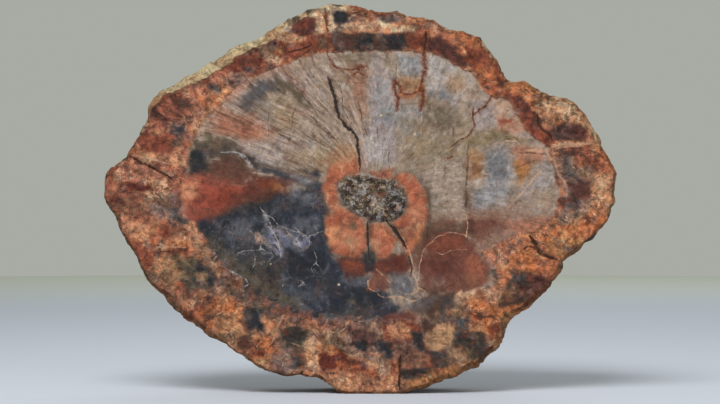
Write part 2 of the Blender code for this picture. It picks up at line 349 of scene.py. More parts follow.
    ("maroon", 0.7, 1.5, 114,142, 124,142.5, 134,141, 126,138.5, 116,139),
    ("blood", 0.6, 1.2, 136,136, 143,133, 146,129, 140,130),
    ("moss", 0.6, 2, 115,138, 121,138, 121,130, 116,129),
    ("slate", 0.6, 2, 122,131, 128,130, 126,124, 121,126),
    ("maroon", 0.6, 2, 126,124, 134,124, 134,118, 127,117),
    ("salmon", 0.5, 2, 113,140, 117,139, 119,126, 116,122),
    ("slate", 0.5, 2, 122,112, 130,112, 128,104, 122,104),
    ("ivory", 0.7, 3, 104,170, 120,171, 132,161, 126,158, 116,162, 106,164),
    ("cream", 0.6, 2, 134,126, 146,126, 147,116, 138,112, 134,118),
    ("cream", 0.5, 2, 116,106, 130,110, 136,116, 138,110, 124,102, 114,98),
    # the grey brown edge of the rim below the dark heartwood, broad folds at the lower left, and painted
    # shade along the lower left edge
    ("tan", 0.6, 2, -94,92, -88,84, -78,70, -84,68, -94,80, -98,90),
    ("moss", 0.6, 2.5, -78,68, -66,58, -50,50, -54,46, -70,54, -82,64),
    ("olive", 0.6, 3, -118,76, -104,80, -96,78, -98,68, -112,62, -122,70),
    # a dark band along the lower left edge: painted shade of the underside
    ("umber", 0.7, 1.5, -114,54, -106,52, -98,46, -94,42, -104,45, -114,50),
    ("brown", 0.6, 2.5, -124,68, -112,62, -98,54, -104,48, -120,58),
    ("orange", 0.7, 1.5, -90,54, -80,57, -70,54, -76,50, -86,48),
    ("brick", 0.7, 1.2, -119,97, -112,98, -110,92, -116,90),
    ("orange", 0.7, 1.0, -122,85.5, -112,86, -102,85.5, -112,84),
    ("apricot", 0.3, 5, 104,174, 134,164, 147,134, 146,110, 136,96, 132,112, 138,134, 132,156, 110,164),
    ("ochre", 0.35, 5, 92,60, 84,44, 60,20, 36,8, 44,18, 62,30, 74,46, 82,60),
]

HEART_STAINS = [
    ("salmon", 0.7, 5, -94,172, -60,188, -40,193, -42,187, -60,181, -80,168, -92,158),
    ("mauve", 0.5, 4, -66,182, -44,190, -36,184, -60,176),
    ("warm_grey", 0.7, 5, -44,194, -20,196, -22,170, -40,184),
    ("lilac", 0.85, 4, 5,199, 22,199, 22,160, 22,134, 0,133, 0,150, 5,166),
    ("frost", 0.5, 3, 0,150, 10,152, 16,134, 2,131),
    ("brown", 0.4, 3, -6,190, 4,190, 2,170, -8,172),
    ("salmon", 0.35, 3, -6,188, 6,188, 5,160, -3,160),
    ("moss", 0.3, 3, -14,199, 8,199, 6,191, -12,192),
    # a pale frosty patch at the upper middle right: the stone's lilac with a painted sheen of the polish
    ("frost", 0.7, 4, 38,180, 60,171, 66,184, 56,192, 44,198, 38,197),
    ("blue_grey", 1.0, 3, 23,197, 35,195, 36,184, 23,184),
    ("straw", 0.5, 3, 13,198, 22,196, 20,186, 14,186),
    ("blue_grey", 0.6, 4, 6,184, 18,182, 19,168, 10,160, 6,170),
    ("ochre", 0.5, 3, 22,184, 37,183, 37,174, 23,174),
    ("orange", 0.6, 2, 23,178, 28,175, 36,178, 37,174, 28,172, 22,174),
    ("frost", 0.7, 1.5, 38,178, 44,179, 58,173, 56,170, 44,174),
    ("blue_grey", 0.8, 3, 8,168, 36,168, 38,158, 10,158),
    ("moss", 0.6, 3, 38,169, 56,168, 60,158, 48,152, 36,156),
    ("slate", 0.65, 2.5, 38,176, 52,177, 54,171, 40,170),
    ("slate", 0.3, 3, 12,163, 22,162, 32,156, 34,150, 20,154, 12,158),
    ("olive", 0.55, 5, 22,162, 36,158, 50,154, 56,138, 40,130, 24,136),
    ("blue_grey", 0.5, 3, 18,158, 30,156, 36,150, 24,150),
    ("beige", 0.9, 5, 40,136, 60,138, 62,110, 44,106, 40,118),
    ("lilac", 0.8, 3, 64,170, 80,169, 80,155, 68,153),
    ("ochre", 0.5, 4, 50,186, 60,184, 62,176, 52,176),
    ("olive", 0.95, 2.5, 60,149, 72,152, 82,153, 98,149, 92,144, 76,146, 62,143),
    ("moss", 0.35, 2, 74,152, 84,152, 92,149, 80,147),
    ("lilac", 0.6, 1.5, 78,146, 88,147.5, 94,146, 88,145),
    ("blue_grey", 0.9, 4, 71,142, 87,143, 89,128, 84,112, 68,104, 66,112, 73,126),
    ("slate", 0.7, 3, 72,139, 84,140, 86,126, 74,128),
    ("umber", 0.5, 1.5, 60,118, 64,118, 64,108, 60,108),
    ("frost", 0.7, 2, 98,120, 105,130, 110,130, 111,120, 104,114),
    ("ochre", 0.6, 3, 63,141, 72,141, 70,124, 63,126),
    ("ochre", 1.0, 2.5, 90,135, 101,135, 99,127, 92,123),
    ("peach", 0.5, 4, 76,173, 88,169, 98,153, 90,150, 80,160),
    ("salmon", 0.45, 3, 80,163, 94,158, 94,150, 80,154),
    ("brick", 0.8, 1.0, 80,158.5, 89,160, 88,157, 81,156.5),
    ("salmon", 0.7, 2.5, 88,144, 108,142, 108,136, 96,134, 90,138),
    ("lilac", 0.55, 4, 99,132, 112,135, 111,118, 102,108, 88,112),
    ("moss", 0.45, 3, 36,118, 42,120, 44,108, 38,104),
    ("slate", 0.45, 3, 66,118, 72,117, 74,106, 67,106),
    ("straw", 0.6, 3, 100,118, 110,118, 112,108, 102,108),
    ("beige", 0.7, 4, 84,114, 112,116, 112,103, 90,102),
    ("dusk", 0.95, 6, 58,102, 72,105, 90,106, 114,101, 98,90, 76,78, 64,84),
    ("brown", 0.5, 3, 62,105, 80,104, 80,98, 62,98),
    ("salmon", 0.5, 4, 80,102, 108,104, 104,97, 84,92),
    ("salmon", 0.7, 2, 84,100, 104,103, 112,100, 96,96),
    ("maroon", 0.5, 2, 66,99, 84,100, 84,96, 68,94),
    ("terracotta", 0.6, 2, 90,96, 106,98, 104,92, 92,90),
    ("beige", 0.5, 2, 88,107, 104,109, 110,106, 96,103),
    ("dusk", 0.45, 5, 66,104, 84,112, 100,110, 112,112, 113,103, 90,100),
    ("mauve", 0.6, 4, 84,92, 96,94, 92,86, 82,84),
    ("disc", 0.7, 3, 62,100, 78,98, 76,90, 66,88),
    ("straw", 0.6, 5, -52,172, -38,170, -36,154, -50,156),
    ("salmon", 0.75, 5, -86,165, -62,164, -50,152, -58,145, -88,151),
    ("brick", 0.3, 4, -84,160, -66,156, -56,149, -72,149),
    ("charcoal", 0.8, 4, -70,168, -62,180, -53,185, -46,182, -48,177, -56,172, -64,165),
    ("moss", 0.95, 2, -50,183, -40,181, -33,175, -27,166, -34,168, -41,175, -50,178),
    ("slate", 0.6, 3, -66,172, -56,182, -50,180, -58,172),
    ("lilac", 0.6, 4, -70,147, -44,149, -30,143, -40,134, -58,136, -68,140),
    ("straw", 0.55, 5, -42,143, -14,143, -12,131, -36,128),
    ("moss", 0.3, 4, -40,135, -20,135, -20,126, -42,127),
    ("moss", 0.9, 3, -99,147, -88,151, -72,149, -70,142, -84,141, -89,131, -99,128, -101,136),
    ("ink", 0.9, 3, -101,142, -91,144, -86,131, -100,126),
    ("slate", 0.6, 2.5, -93,142, -84,141, -86,136, -92,137),
    ("charcoal", 0.6, 3, -87,142, -78,146, -70,143, -60,136, -45,132, -30,128, -22,126, -22,118, -44,124,
     -58,127, -66,134, -84,139),
    ("ink", 0.75, 1.2, -68,139, -62,136, -58,131, -60,129, -66,134),
    ("navy", 0.75, 1.2, -56,131, -44,130, -32,126, -32,123, -46,126, -57,128),
    ("lilac", 0.6, 1.2, -70,141, -62,139, -54,134, -46,133, -56,137, -64,142),
    ("blue_grey", 0.6, 1.5, -44,129, -34,127, -26,122, -34,123),
    ("navy", 0.8, 1.5, -34,130, -24,129, -21,126, -30,127),
    ("umber", 0.8, 4, -88,137, -76,140, -66,136, -60,126, -70,121, -90,128),
    ("disc", 0.6, 4, -86,134, -70,134, -62,127, -86,124),
    ("umber", 1.0, 3, -104,102, -84,110, -66,115, -44,121, -38,114, -62,106, -80,99, -98,92),
    ("wedge", 0.95, 3.5, -112,126, -92,128, -76,124, -62,124, -56,120, -60,115, -74,110, -84,102, -95,97,
     -108,104, -113,116),
    ("peach", 0.85, 4, -112,124, -96,125, -94,116, -104,106, -112,112),
    ("mauve", 0.5, 3, -110,112, -102,112, -98,104, -106,102),
    ("disc", 0.7, 4, -90,127, -66,128, -58,124, -74,122, -90,123),
    ("blood", 0.45, 3, -84,118, -74,120, -70,114, -82,109, -88,110),
    ("disc", 0.6, 4, -98,106, -84,109, -72,113, -74,108, -86,101, -96,102),
    ("maroon", 0.85, 3.5, -66,125, -48,127, -36,123, -42,117, -60,114, -70,113),
    ("rust", 0.6, 2, -60,123, -50,124, -46,120, -58,118),
    ("ochre", 0.5, 1.5, -52,122, -46,123, -44,119, -50,118),
    ("umber", 0.6, 2, -70,114, -56,117, -50,116, -62,112),
    ("cream", 0.4, 1.5, -46,121, -40,121, -42,117, -47,117),
    ("navy", 0.97, 3, *NIGHT),
    ("charcoal", 0.6, 3, -78,107, -54,111, -40,112, -24,110, -40,106, -70,103),
    ("slate", 0.8, 4, -84,97, -68,104, -58,100, -64,89, -80,87),
    ("slate", 0.5, 4, -42,122, -24,120, -22,108, -40,108),
    ("blue_grey", 0.35, 2.5, -40,118, -28,117, -26,113, -40,114),
    ("charcoal", 0.7, 4, -72,90, -56,88, -52,74, -66,70, -76,78),
    ("moss", 0.5, 5, -70,78, -46,80, -40,66, -46,58, -66,62),
    ("umber", 0.6, 4, -66,70, -46,69, -46,59, -62,60),
    ("slate", 0.55, 5, -46,64, -28,64, -24,52, -44,50),
    ("charcoal", 0.6, 4, -28,70, -16,70, -14,56, -26,58),
    ("slate", 0.7, 3, -12,68, 4,68, 6,61, -10,61),
    ("ink", 0.8, 3, -14,61, 8,60, 10,50, -12,52),
    ("ink", 0.7, 4, -42,84, -24,84, -20,70, -36,65, -42,72),
    ("ink", 0.6, 4, -90,98, -76,100, -78,88, -88,88),
    ("slate", 0.75, 2.5, -38,104, -24,104, -22,96, -34,92, -40,96),
    ("slate", 0.85, 1.5, -58,109, -52,102, -44,97, -38,95, -30,91, -27,86, -34,82, -42,87, -45,79, -52,82,
     -58,86, -60,94, -55,98),
    ("crystal", 0.95, 1.0, -52,97, -46,96, -40,91, -42,86, -46,88, -44,80, -48,81, -53,88),
    ("lilac", 0.75, 0.8, -57.5,108, -54,104, -50,98, -46,95, -50,95, -54,98),
    ("lilac", 0.7, 0.8, -57,90, -53,88, -48,82, -46,79, -50,82, -55,86),
    ("crystal", 0.9, 1.0, -40,93, -33,92, -28,88, -33,85, -38,88),
    ("mauve", 0.9, 1.0, -60,95, -57,94, -54,88, -57,84, -60,88),
    ("cream", 0.5, 0.7, -60,94, -58.5,93, -57,88, -59,89),
    ("lilac", 0.7, 0.7, -43,96, -38,92, -33,87, -36,86, -41,91),
    ("frost", 0.5, 0.7, -51,94, -48,92, -46,86, -49,87),
    ("ink", 0.6, 1.0, -56,100, -50,98, -44,99, -50,103),
    ("moss", 0.85, 4, -93,92, -85,79, -72,65, -56,55, -38,49, -30,48, -36,55, -54,63, -68,74, -80,88),
    ("straw", 0.5, 1.2, -7,55, -3,55, -3,51, -7,52),
    ("moss", 0.5, 4, -20,50, 6,50, 6,43, -20,44),
    ("umber", 0.8, 5, 37,98, 48,101, 62,98, 66,92, 60,89, 44,91, 38,86, 34,92),
    ("brown", 0.5, 4, 40,105, 62,103, 60,96, 44,95),
    ("disc", 0.97, 2.6, 34,80, 38,87, 46,92.5, 56,93, 64,89, 70,81, 75,73, 72,65, 62,60, 46,58, 37,60,
     34,70),
    ("brick", 0.5, 2.5, 38,88, 48,93, 60,91, 62,85, 48,81, 40,84),
    ("terracotta", 0.6, 3, 60,80, 72,78, 72,66, 62,64),
    ("maroon", 0.5, 4, 42,82, 56,80, 56,70, 42,70),
    ("mauve", 0.5, 3, 38,68, 50,68, 50,61, 40,60),
    ("brown", 0.5, 3, 52,72, 70,70, 66,60, 50,60),
    ("maroon", 0.6, 4, 34,94, 38,88, 34,76, 30,70, 28,82, 30,90),
    ("umber", 0.9, 4, 38,60, 54,60, 54,46, 40,44, 30,50),
    ("slate", 0.6, 3, 28,57, 44,56, 40,49, 26,50),
    ("charcoal", 0.7, 3, 48,57, 57,55, 56,44, 48,45),
    ("maroon", 0.95, 2, -14,77, -8,81, 3,80, 6,74, 2,68, -9,68),
    ("brick", 0.8, 1.8, -10,78, 2,77, 3,72, -3,70, -9,72),
    ("maroon", 0.95, 2, 4,77, 14,80, 26,83, 30,76, 26,68, 14,70, 5,72),
    ("brick", 0.6, 2, 8,76, 16,77, 18,73, 9,72),
    ("blood", 0.6, 2, 19,81, 25,80, 26,74, 20,74),
    ("ink", 0.7, 1.5, 2,78, 8,78, 8,72, 3,71),
    ("disc", 0.85, 1.5, 4,64, 9,72, 14,70, 20,63, 12,59, 5,60),
    ("terracotta", 0.5, 1.5, 5,66, 9,66, 9,61, 5,61),
    ("slate", 0.95, 2, 18,70, 27,70, 33,63, 29,57, 18,58, 16,64),
    ("lilac", 0.2, 2, 20,67, 28,66, 26,60, 20,61),
    ("brick", 0.7, 3, 14,45, 24,48, 34,45, 28,41, 16,41),
]

# The salmon ring, its own mottles, and the pith.
RING_STAINS = [
    ("ring", 0.5, 4, -16,136, -8,142, 0,142, 2,130, -12,128),
    ("ring", 1.0, 1.5, *RING_LOBES[0]),
    ("ring", 1.0, 1.5, *RING_LOBES[1]),
    ("ring", 1.0, 1.8, *RING_LOBES[2]),
    ("ring_red", 0.7, 2.5, 22,127, 30,126, 35,118, 34,112, 28,114, 24,121),
    ("ring_red", 0.6, 2.5, 22,100, 30,101, 29,94, 23,94),
    ("ring_red", 0.6, 2, 11,90, 17,90, 18,82, 13,80),
    ("ring_red", 0.5, 2.5, -15,124, -11,124, -12,112, -18,112),
    ("peach", 0.35, 3, -18,97, -4,96, 2,90, -8,84, -16,88),
    ("moss", 0.5, 2.5, 4,86, 8,82, 8,76, 4,76),
    ("ring_red", 0.7, 1.8, 3,129, 19,131, 19,126, 10,125, 5,126),
    ("moss", 0.8, 1.2, -6,100, -3,101, -2,97, -4,95, -6,97),
    ("tan", 0.8, 4, -24,133, -12,146, 2,146, 0,137, -12,134),
    ("terracotta", 0.7, 2.5, -20,118, -17,128, -13,130, -12,120, -15,112),
    ("brick", 0.6, 2, -20,105, -12,105, -5,101, -12,99, -19,99),
    ("olive", 0.45, 2, -9,92, -2,91, -3,86, -10,87),
    ("apricot", 0.55, 2, -19,97, -13,97, -14,88, -18,88),
    ("brick", 0.65, 1.8, -18,83, -10,80, -1,80, -7,84),
    ("umber", 0.55, 1.5, 2.5,100, 7.5,100, 6.5,88, 3.5,88),
    ("ink", 0.7, 1.5, 1,82, 9,83, 9,76, 2,76),
    ("salmon", 0.6, 2, 27,108, 35,110, 37,100, 29,98),
    ("ochre", 0.4, 2, 32,97, 36,97, 33,86, 28,85),
    ("umber", 0.5, 1.2, 17,100, 24,97, 28,88, 25,86, 20,94),
    ("umber", 0.5, 2.2, 35,129, 41,121, 43,106, 40,90, 37,92, 39,106, 37,118),
    ("moss", 0.9, 1.8, *PITH_POCKET),
    ("umber", 0.8, 1.5, -11,123, -5,126, -3,119, -9,118),
    ("charcoal", 0.7, 2, -12,117, -6,117, -4,110, -9,110),
    ("ink", 0.8, 1.8, 14,118, 20,119, 25,113, 25,106, 20,104, 17,110),
    ("ink", 0.9, 1.2, 4,104, 12,105, 14,101, 5,100),
    ("maroon", 0.5, 1.2, 12,108, 18,108, 18,103, 13,103),
    ("straw", 0.6, 1.5, 2,110, 12,112, 12,105, 4,105),
    ("straw", 0.6, 1.2, 9,121, 17,120, 16,117, 9,118),
]

LINE_KINDS = ("crack", "hair", "rust", "vein", "needle")

# Veins and cracks in the polished face: kind, half width at the start and at the end, depth of the
# groove, and the points that the line runs through.
LINES = [
    # the large crack above the pith and the one below it
    ("crack", 0.75, 0.9, 0.9, -18.8,184.5, -16.8,180, -14.6,172, -13.2,165, -11.6,160),
    ("crack", 0.85, 0.4, 0.8, -11.6,160, -8,156, -4,152, -1.9,149, -1.2,143, -0.4,136, 0,129),
    ("crack", 0.55, 0.35, 0.6, 4.8,101, 4.6,92, 5.0,84, 5.4,77),
    ("crack", 0.45, 0.35, 0.6, 15,101, 18,97, 22,92, 25,88, 27,84),
    ("crack", 0.3, 0.2, 0.3, 28,80, 30,75, 29.5,69),
    ("crack", 0.5, 0.3, 0.3, 20,97, 24,91, 27,86),
    # cracks in the rim
    ("crack", 1.1, 0.5, 0.9, 99,92, 102,87, 105,82, 111,79.3, 118,77),
    ("crack", 0.7, 0.3, 0.5, 104,84, 98,86, 95,84),
    ("crack", 0.7, 0.5, 0.7, 23.5,22, 23.4,14, 22.8,8, 23,3),
    ("crack", 0.7, 0.5, 0.6, -134,138.5, -127,134.5, -120,131, -113,127.5, -108,123),
    ("crack", 0.5, 0.3, 0.4, -125,168, -119,164, -113,160.5),
    ("hair", 0.4, 0.3, 0.15, -104,173, -99,166, -97,160, -99,156),
    ("hair", 0.4, 0.3, 0.2, -121,82.5, -112,82.8, -104,83.2),
    ("crack", 0.7, 0.4, 0.5, 103,163, 104,156, 110,151, 112,147),
    ("hair", 0.5, 0.3, 0.2, 66,48, 72,45, 78,44, 82,40),
    ("hair", 0.5, 0.3, 0.2, 80,51, 88,52.5, 97,53.5),
    ("hair", 0.5, 0.3, 0.2, -93,41, -86,44, -79,47),
    ("crack", 0.45, 0.3, 0.4, -86,36, -80,33, -76,31),
    ("crack", 0.5, 0.3, 0.4, 60,210, 66,208, 70,204),
    ("crack", 0.6, 0.4, 0.5, 38.5,211, 38,206, 37.6,200),
    ("hair", 0.5, 0.3, 0.2, 103,171.5, 110,169, 118,168.5),
    ("crack", 0.4, 0.3, 0.4, -42,199, -35,200, -28,203),
    # thin dark lines
    ("hair", 0.35, 0.2, 0.1, -12.5,182, -10.5,173, -9,164, -5,157.5, -2,153),
    ("hair", 0.4, 0.25, 0.1, -0.5,168, 1,160, 3,154, 5,149),
    ("hair", 0.45, 0.3, 0.1, -49,153, -42,148.5, -35.5,144.8),
    ("hair", 0.35, 0.2, 0.1, -38,166, -39.5,158, -41,149),
    ("hair", 0.3, 0.2, 0.1, -53,164, -53.4,156, -53,149),
    ("hair", 0.45, 0.25, 0.1, -26,158, -19,151.5, -13,146),
    ("hair", 0.4, 0.2, 0.1, -35,153, -27,148, -19,143),
    ("hair", 0.35, 0.2, 0.1, -31,163, -23,157, -15,149),
    ("hair", 0.35, 0.2, 0.1, -24,152, -17,146, -11,142),
    ("hair", 0.35, 0.2, 0.1, -40,178, -33,173, -28,167, -24,161),
    ("hair", 0.45, 0.5, 0.1, 54.3,155.5, 54,149),
    ("hair", 0.5, 0.45, 0.1, 62.8,147, 62.4,135, 62,122, 61.5,106),
    ("hair", 0.3, 0.2, 0.1, 10,156, 10.2,148),
    ("hair", 0.3, 0.2, 0.1, 17,147, 17,130),
    ("hair", 0.3, 0.2, 0.1, 80,146, 89,149, 93,146.5, 95,144),
    ("hair", 0.3, 0.2, 0.1, 21,192, 20.6,184),
    ("hair", 0.4, 0.3, 0.1, -5,205, -4,199, -4,196),
    ("hair", 0.5, 0.3, 0.2, 113,141.5, 124,143, 136,141, 143,136),
    ("hair", 0.5, 0.3, 0.2, 92,140, 100,140, 108,139.5),
    # rust veins
    ("rust", 0.35, 0.6, 0.2, 82,175.5, 77,173.5, 73.5,168, 69,164.5, 66.5,162),
    ("rust", 0.4, 0.22, 0.15, 66,167, 65.5,163, 66.3,157, 65.3,153, 62,149.5, 56.5,146.5, 51,142),
    ("rust", 1.0, 0.7, 0.3, 20.4,184, 20.6,177, 22,170, 21,164),
    ("rust", 0.9, 0.6, 0.2, 20.5,183, 23,178, 24,175),
    ("rust", 1.1, 0.8, 0.3, 37.6,201, 37.2,194, 38,188, 36,182, 35,178),
    ("rust", 1.4, 0.9, 0.3, 36.2,179, 36.4,172, 35.2,164.5),
    ("rust", 0.5, 0.4, 0.1, 24,175, 29,174, 35,176.5),
    ("rust", 0.7, 0.5, 0.2, -20.5,224, -19.4,214, -18.6,206, -18.8,197),
    ("rust", 0.45, 0.3, 0.1, -19,197, -15.5,191.5, -10,189, -3,189, 2,190),
    ("rust", 1.3, 0.6, 0.2, -2,189, 1,190.5, 5,190),
    ("rust", 0.7, 0.3, 0.1, -4,184, -1.5,187, 2.5,185.5),
    ("rust", 0.7, 0.4, 0.3, 51,137, 54,138.2),
    ("hair", 1.3, 0.6, 0.2, 61.6,116, 62.6,112.5, 61,109.5),
    ("rust", 0.5, 0.2, 0.2, 10,73, 14,68, 19,63),
    ("rust", 0.6, 0.3, 0.2, -28,201, -34,197, -38,194),
    # pale veins
    ("vein", 1.15, 0.9, -0.1, 97,141.5, 104,141, 109,141.6, 112,143.6, 119,145, 128,145.2, 137,146),
    ("vein", 1.1, 0.6, -0.1, 112,142, 113.5,134, 115.5,128, 119.5,121.5, 120,113),
    ("vein", 0.6, 0.35, -0.05, 106,131, 100,124, 92,115, 84,106),
    ("vein", 0.32, 0.28, -0.1, 33.5,62, 34.2,72, 36.5,82, 41,88, 47,92.3, 55,93.8, 62,91.8),
    ("vein", 0.2, 0.15, -0.05, 44,82.5, 48,81.5, 54,83.5, 62,84),
    ("vein", 0.4, 0.25, -0.05, 62,103, 62.4,97, 61.5,91),
    ("vein", 0.45, 0.4, -0.1, 9,60, 14,56, 22,57, 30,54.2, 35,55.5, 38,60),
    ("vein", 0.35, 0.3, -0.1, 22,59.5, 29,58, 36,61.5),
    ("vein", 0.35, 0.3, -0.1, 30,72, 32,68, 34,62, 38,60),
    ("vein", 0.4, 0.3, -0.05, 22,95.5, 26,89, 29.5,81, 31.5,72),
    ("vein", 0.5, 0.3, -0.1, 4.5,66, 5,62, 8,60),
    ("vein", 0.3, 0.25, -0.1, 9.5,73, 13,69, 18,64),
    ("needle", 0.35, 0.3, -0.1, -58,109, -54,102, -51,96, -48,89, -45,80),
    ("needle", 0.25, 0.2, -0.1, -57,107, -52,103, -47,98, -40,95, -33,93, -28,88),
    ("needle", 0.3, 0.25, -0.1, -59.5,95, -57,90, -57.5,85, -53,82),
    ("needle", 0.25, 0.2, -0.1, -53,97, -50,93, -45,91.5, -41,92.5),
    ("needle", 0.22, 0.2, -0.1, -50,88, -47,84, -46,79),
    ("needle", 0.25, 0.2, -0.1, -44,97, -40,92, -36,89, -34,85),
    ("needle", 0.22, 0.2, -0.1, -41,89, -37,87, -33,88.5, -29,91),
    ("needle", 0.3, 0.2, -0.1, -34,92, -28,92.5, -23,94, -18,96),
    ("needle", 0.25, 0.2, -0.1, -31,92, -29,88, -31,85, -35,83),
    ("needle", 0.2, 0.15, -0.1, -38,97, -35,94, -36,91),
    ("needle", 0.2, 0.15, -0.1, -27,99, -25,95, -27,91),
    ("needle", 0.3, 0.2, -0.1, -27,84, -25,79, -25.5,76, -22.5,72),
    ("needle", 0.2, 0.15, -0.1, -26,76, -28,73, -27,70),
    ("needle", 0.25, 0.2, -0.05, -73,81.5, -66,83.5, -58,84),
    ("needle", 0.22, 0.2, -0.05, -63,84, -61,79, -62,73),
    ("needle", 0.2, 0.15, -0.05, -66,96, -61,92, -60,88),
    ("needle", 0.2, 0.15, -0.05, -82,75, -76,72, -71,66),
    ("needle", 0.25, 0.25, -0.05, -79,73.5, -73,71, -69,68),
    ("needle", 0.4, 0.3, -0.05, -67,67, -65,64, -67,62),
    ("needle", 0.4, 0.3, -0.05, -36,62, -33,65, -35,66),
    ("vein", 0.9, 0.4, -0.05, -119.5,85, -110,85.6, -101,85.2),
    ("vein", 0.5, 0.4, -0.05, -131,139, -122,136.8, -113,134.4, -104,134),
    ("needle", 0.4, 0.3, -0.05, -81,140.6, -73,140.4, -67,138.5, -62,132),
    ("needle", 0.35, 0.3, -0.05, -70,139, -66,135, -63,131.5),
    ("vein", 0.5, 0.5, -0.05, 78,145.8, 86,147.2, 92,146.4),
    ("needle", 0.4, 0.3, -0.05, -34,188, -30,176),
    ("vein", 0.5, 0.4, 0.0, -24.5,221, -23.5,216, -24,211),
    ("vein", 0.5, 0.4, 0.0, -16.8,222, -16.5,216, -15.5,211),
    ("vein", 0.4, 0.3, -0.05, 14,185, 15,182),
    ("vein", 0.3, 0.2, -0.05, 35.6,164, 35.8,150),
    ("vein", 0.35, 0.3, -0.05, -8,39, -12,36, -18,36),
    ("vein", 0.35, 0.3, -0.05, -52,28, -48,38, -44,46),
    ("vein", 0.3, 0.25, -0.05, -40,30, -32,27, -28,28),
]

# Small bright grains: place and radius.
GLINTS = [
    (12.3, 162, 0.9), (32, 151, 0.9), (-12.3, 63.6, 0.9), (6.5, 148.5, 0.8), (-45, 63, 0.7),
    (-38, 37, 0.6), (17, 215, 0.8), (-27, 198, 0.6), (-52, 75.5, 0.7),
]


# ---------------------------------------------------------------- noise, outlines and colour


def srgb(name):
    """One of the stone colours, in 0-1."""
    return np.array(COLORS[name], float) / 255


def linear(color):
    """An sRGB colour in 0-1, as light."""
    color = np.asarray(color, float)
    return np.where(color <= 0.04045, color / 12.92, ((color + 0.055) / 1.055) ** 2.4)


def hashed(ix, iy, seed):
    """A number in 0..1 that looks random, for each cell of a grid."""
    h = (ix * 374761393 + iy * 668265263 + seed * 974634777) & 0xFFFFFFFF
    h = ((h ^ (h >> 13)) * 1274126177) & 0xFFFFFFFF
    h = ((h ^ (h >> 16)) * 2246822519) & 0xFFFFFFFF
    return ((h ^ (h >> 15)) & 0xFFFFFF) / float(0xFFFFFF)


def value_noise(x, z, seed):
    """Smooth noise in -1..1 with features about one unit across."""
    ix, iz = np.floor(x).astype(np.int64), np.floor(z).astype(np.int64)
    fx, fz = x - ix, z - iz
    fx, fz = fx * fx * (3 - 2 * fx), fz * fz * (3 - 2 * fz)
    low = hashed(ix, iz, seed) * (1 - fx) + hashed(ix + 1, iz, seed) * fx
    high = hashed(ix, iz + 1, seed) * (1 - fx) + hashed(ix + 1, iz + 1, seed) * fx
    return (low * (1 - fz) + high * fz) * 2 - 1


def fractal(x, z, size, seed, octaves=4, gain=0.5):
    """Sum of noises, the largest features size mm across, about -1..1."""
    total, weight = 0.0, 0.0
    for k in range(octaves):
        total = total + gain**k * value_noise(x / size * 2**k + 7.3 * k, z / size * 2**k - 3.1 * k, seed + k)
        weight += gain**k
    return total / weight * 1.6


def smoothstep(low, high, v):
    """0 at low and beyond, 1 at high and beyond, smooth in between. Low may be above high."""
    t = np.clip((v - low) / (high - low), 0, 1)
    return t * t * (3 - 2 * t)


def points(numbers):
    """X and Z in turn, as a list of points."""
    return list(zip(numbers[::2], numbers[1::2]))


def distance_inside(x, z, outline):
    """Signed distance to a closed outline, positive inside."""
    corners = points(outline)
    best = np.full(x.shape, 1e9)
    inside = np.zeros(x.shape, bool)
    for (ax, az), (bx, bz) in zip(corners, corners[1:] + corners[:1]):
        ex, ez = bx - ax, bz - az
        t = np.clip(((x - ax) * ex + (z - az) * ez) / (ex * ex + ez * ez), 0, 1)
        best = np.minimum(best, (x - ax - t * ex) ** 2 + (z - az - t * ez) ** 2)
        if az != bz:
            crosses = (az > z) != (bz > z)
            inside ^= crosses & (x < (bx - ax) * (z - az) / (bz - az) + ax)
    return np.where(inside, 1, -1) * np.sqrt(best)


def blend(color, name, weight):
    """Takes the rows of colour towards the named one, in place."""
    share = np.clip(weight, 0, 1) * np.ones(len(color))
    color += (srgb(name) - color) * share[:, None]


def lay(color, x, z, stains, ragged):
    """Lays the stains over the colours, in place. Ragged frays their edges."""
    for name, strength, soft, *outline in stains:
        xs, zs = outline[::2], outline[1::2]
        margin = 3 * soft + 3
        beside = (x > min(xs) - margin) & (x < max(xs) + margin)
        near = np.flatnonzero(beside & (z > min(zs) - margin) & (z < max(zs) + margin))
        if not len(near):
            continue
        inside = distance_inside(x[near], z[near], outline) + ragged[near] * (0.5 + 0.45 * soft)
        alpha = strength * smoothstep(-soft, soft, inside)
        color[near] += (srgb(name) - color[near]) * alpha[:, None]


# ---------------------------------------------------------------- where things are on the slab


def in_pith(x, z):
    """1 in the rough pocket at the pith."""
    return smoothstep(-1.5, 1.5, distance_inside(x, z, PITH_POCKET))


def depth_in_ring(x, z):
    """Signed distance to the edge of the salmon ring, positive inside."""
    return np.max([distance_inside(x, z, lobe) for lobe in RING_LOBES], 0)


def in_ring(x, z):
    """1 in the salmon ring."""
    return smoothstep(-1.0, 1.0, depth_in_ring(x, z)) * (1 - in_pith(x, z))


def in_night(x, z):
    """1 in the dark blue part of the heartwood."""
    inside = distance_inside(x, z, NIGHT) + 2 * fractal(x, z, 9, 431, 3)
    return smoothstep(-3, 3, inside) * (1 - in_ring(x, z)) * (1 - in_pith(x, z))


def in_fan(x, z):
    """1 where the rays show most, above and to the left of the pith."""
    upper_left = smoothstep(14, -4, x) * smoothstep(118, 136, z)
    return (0.25 + 0.75 * upper_left) * (1 - in_ring(x, z)) * (1 - in_night(x, z))


def lightness(color):
    """0 for the dark stains, 1 for the pale ones."""
    return smoothstep(0.3, 0.5, color.mean(1))


def saturation(color):
    """0 for the greys, towards 1 for the vivid colours."""
    strongest = color.max(1)
    return (strongest - color.min(1)) / strongest


def clear_grey(color):
    """1 for the pale greys, 0 for the reds and browns and for the dark stains."""
    return smoothstep(0.45, 0.28, saturation(color)) * smoothstep(0.3, 0.45, color.max(1))


def redness(color):
    """1 for the reds and browns, 0 for the greys."""
    return smoothstep(0.3, 0.45, saturation(color))


# ---------------------------------------------------------------- paint


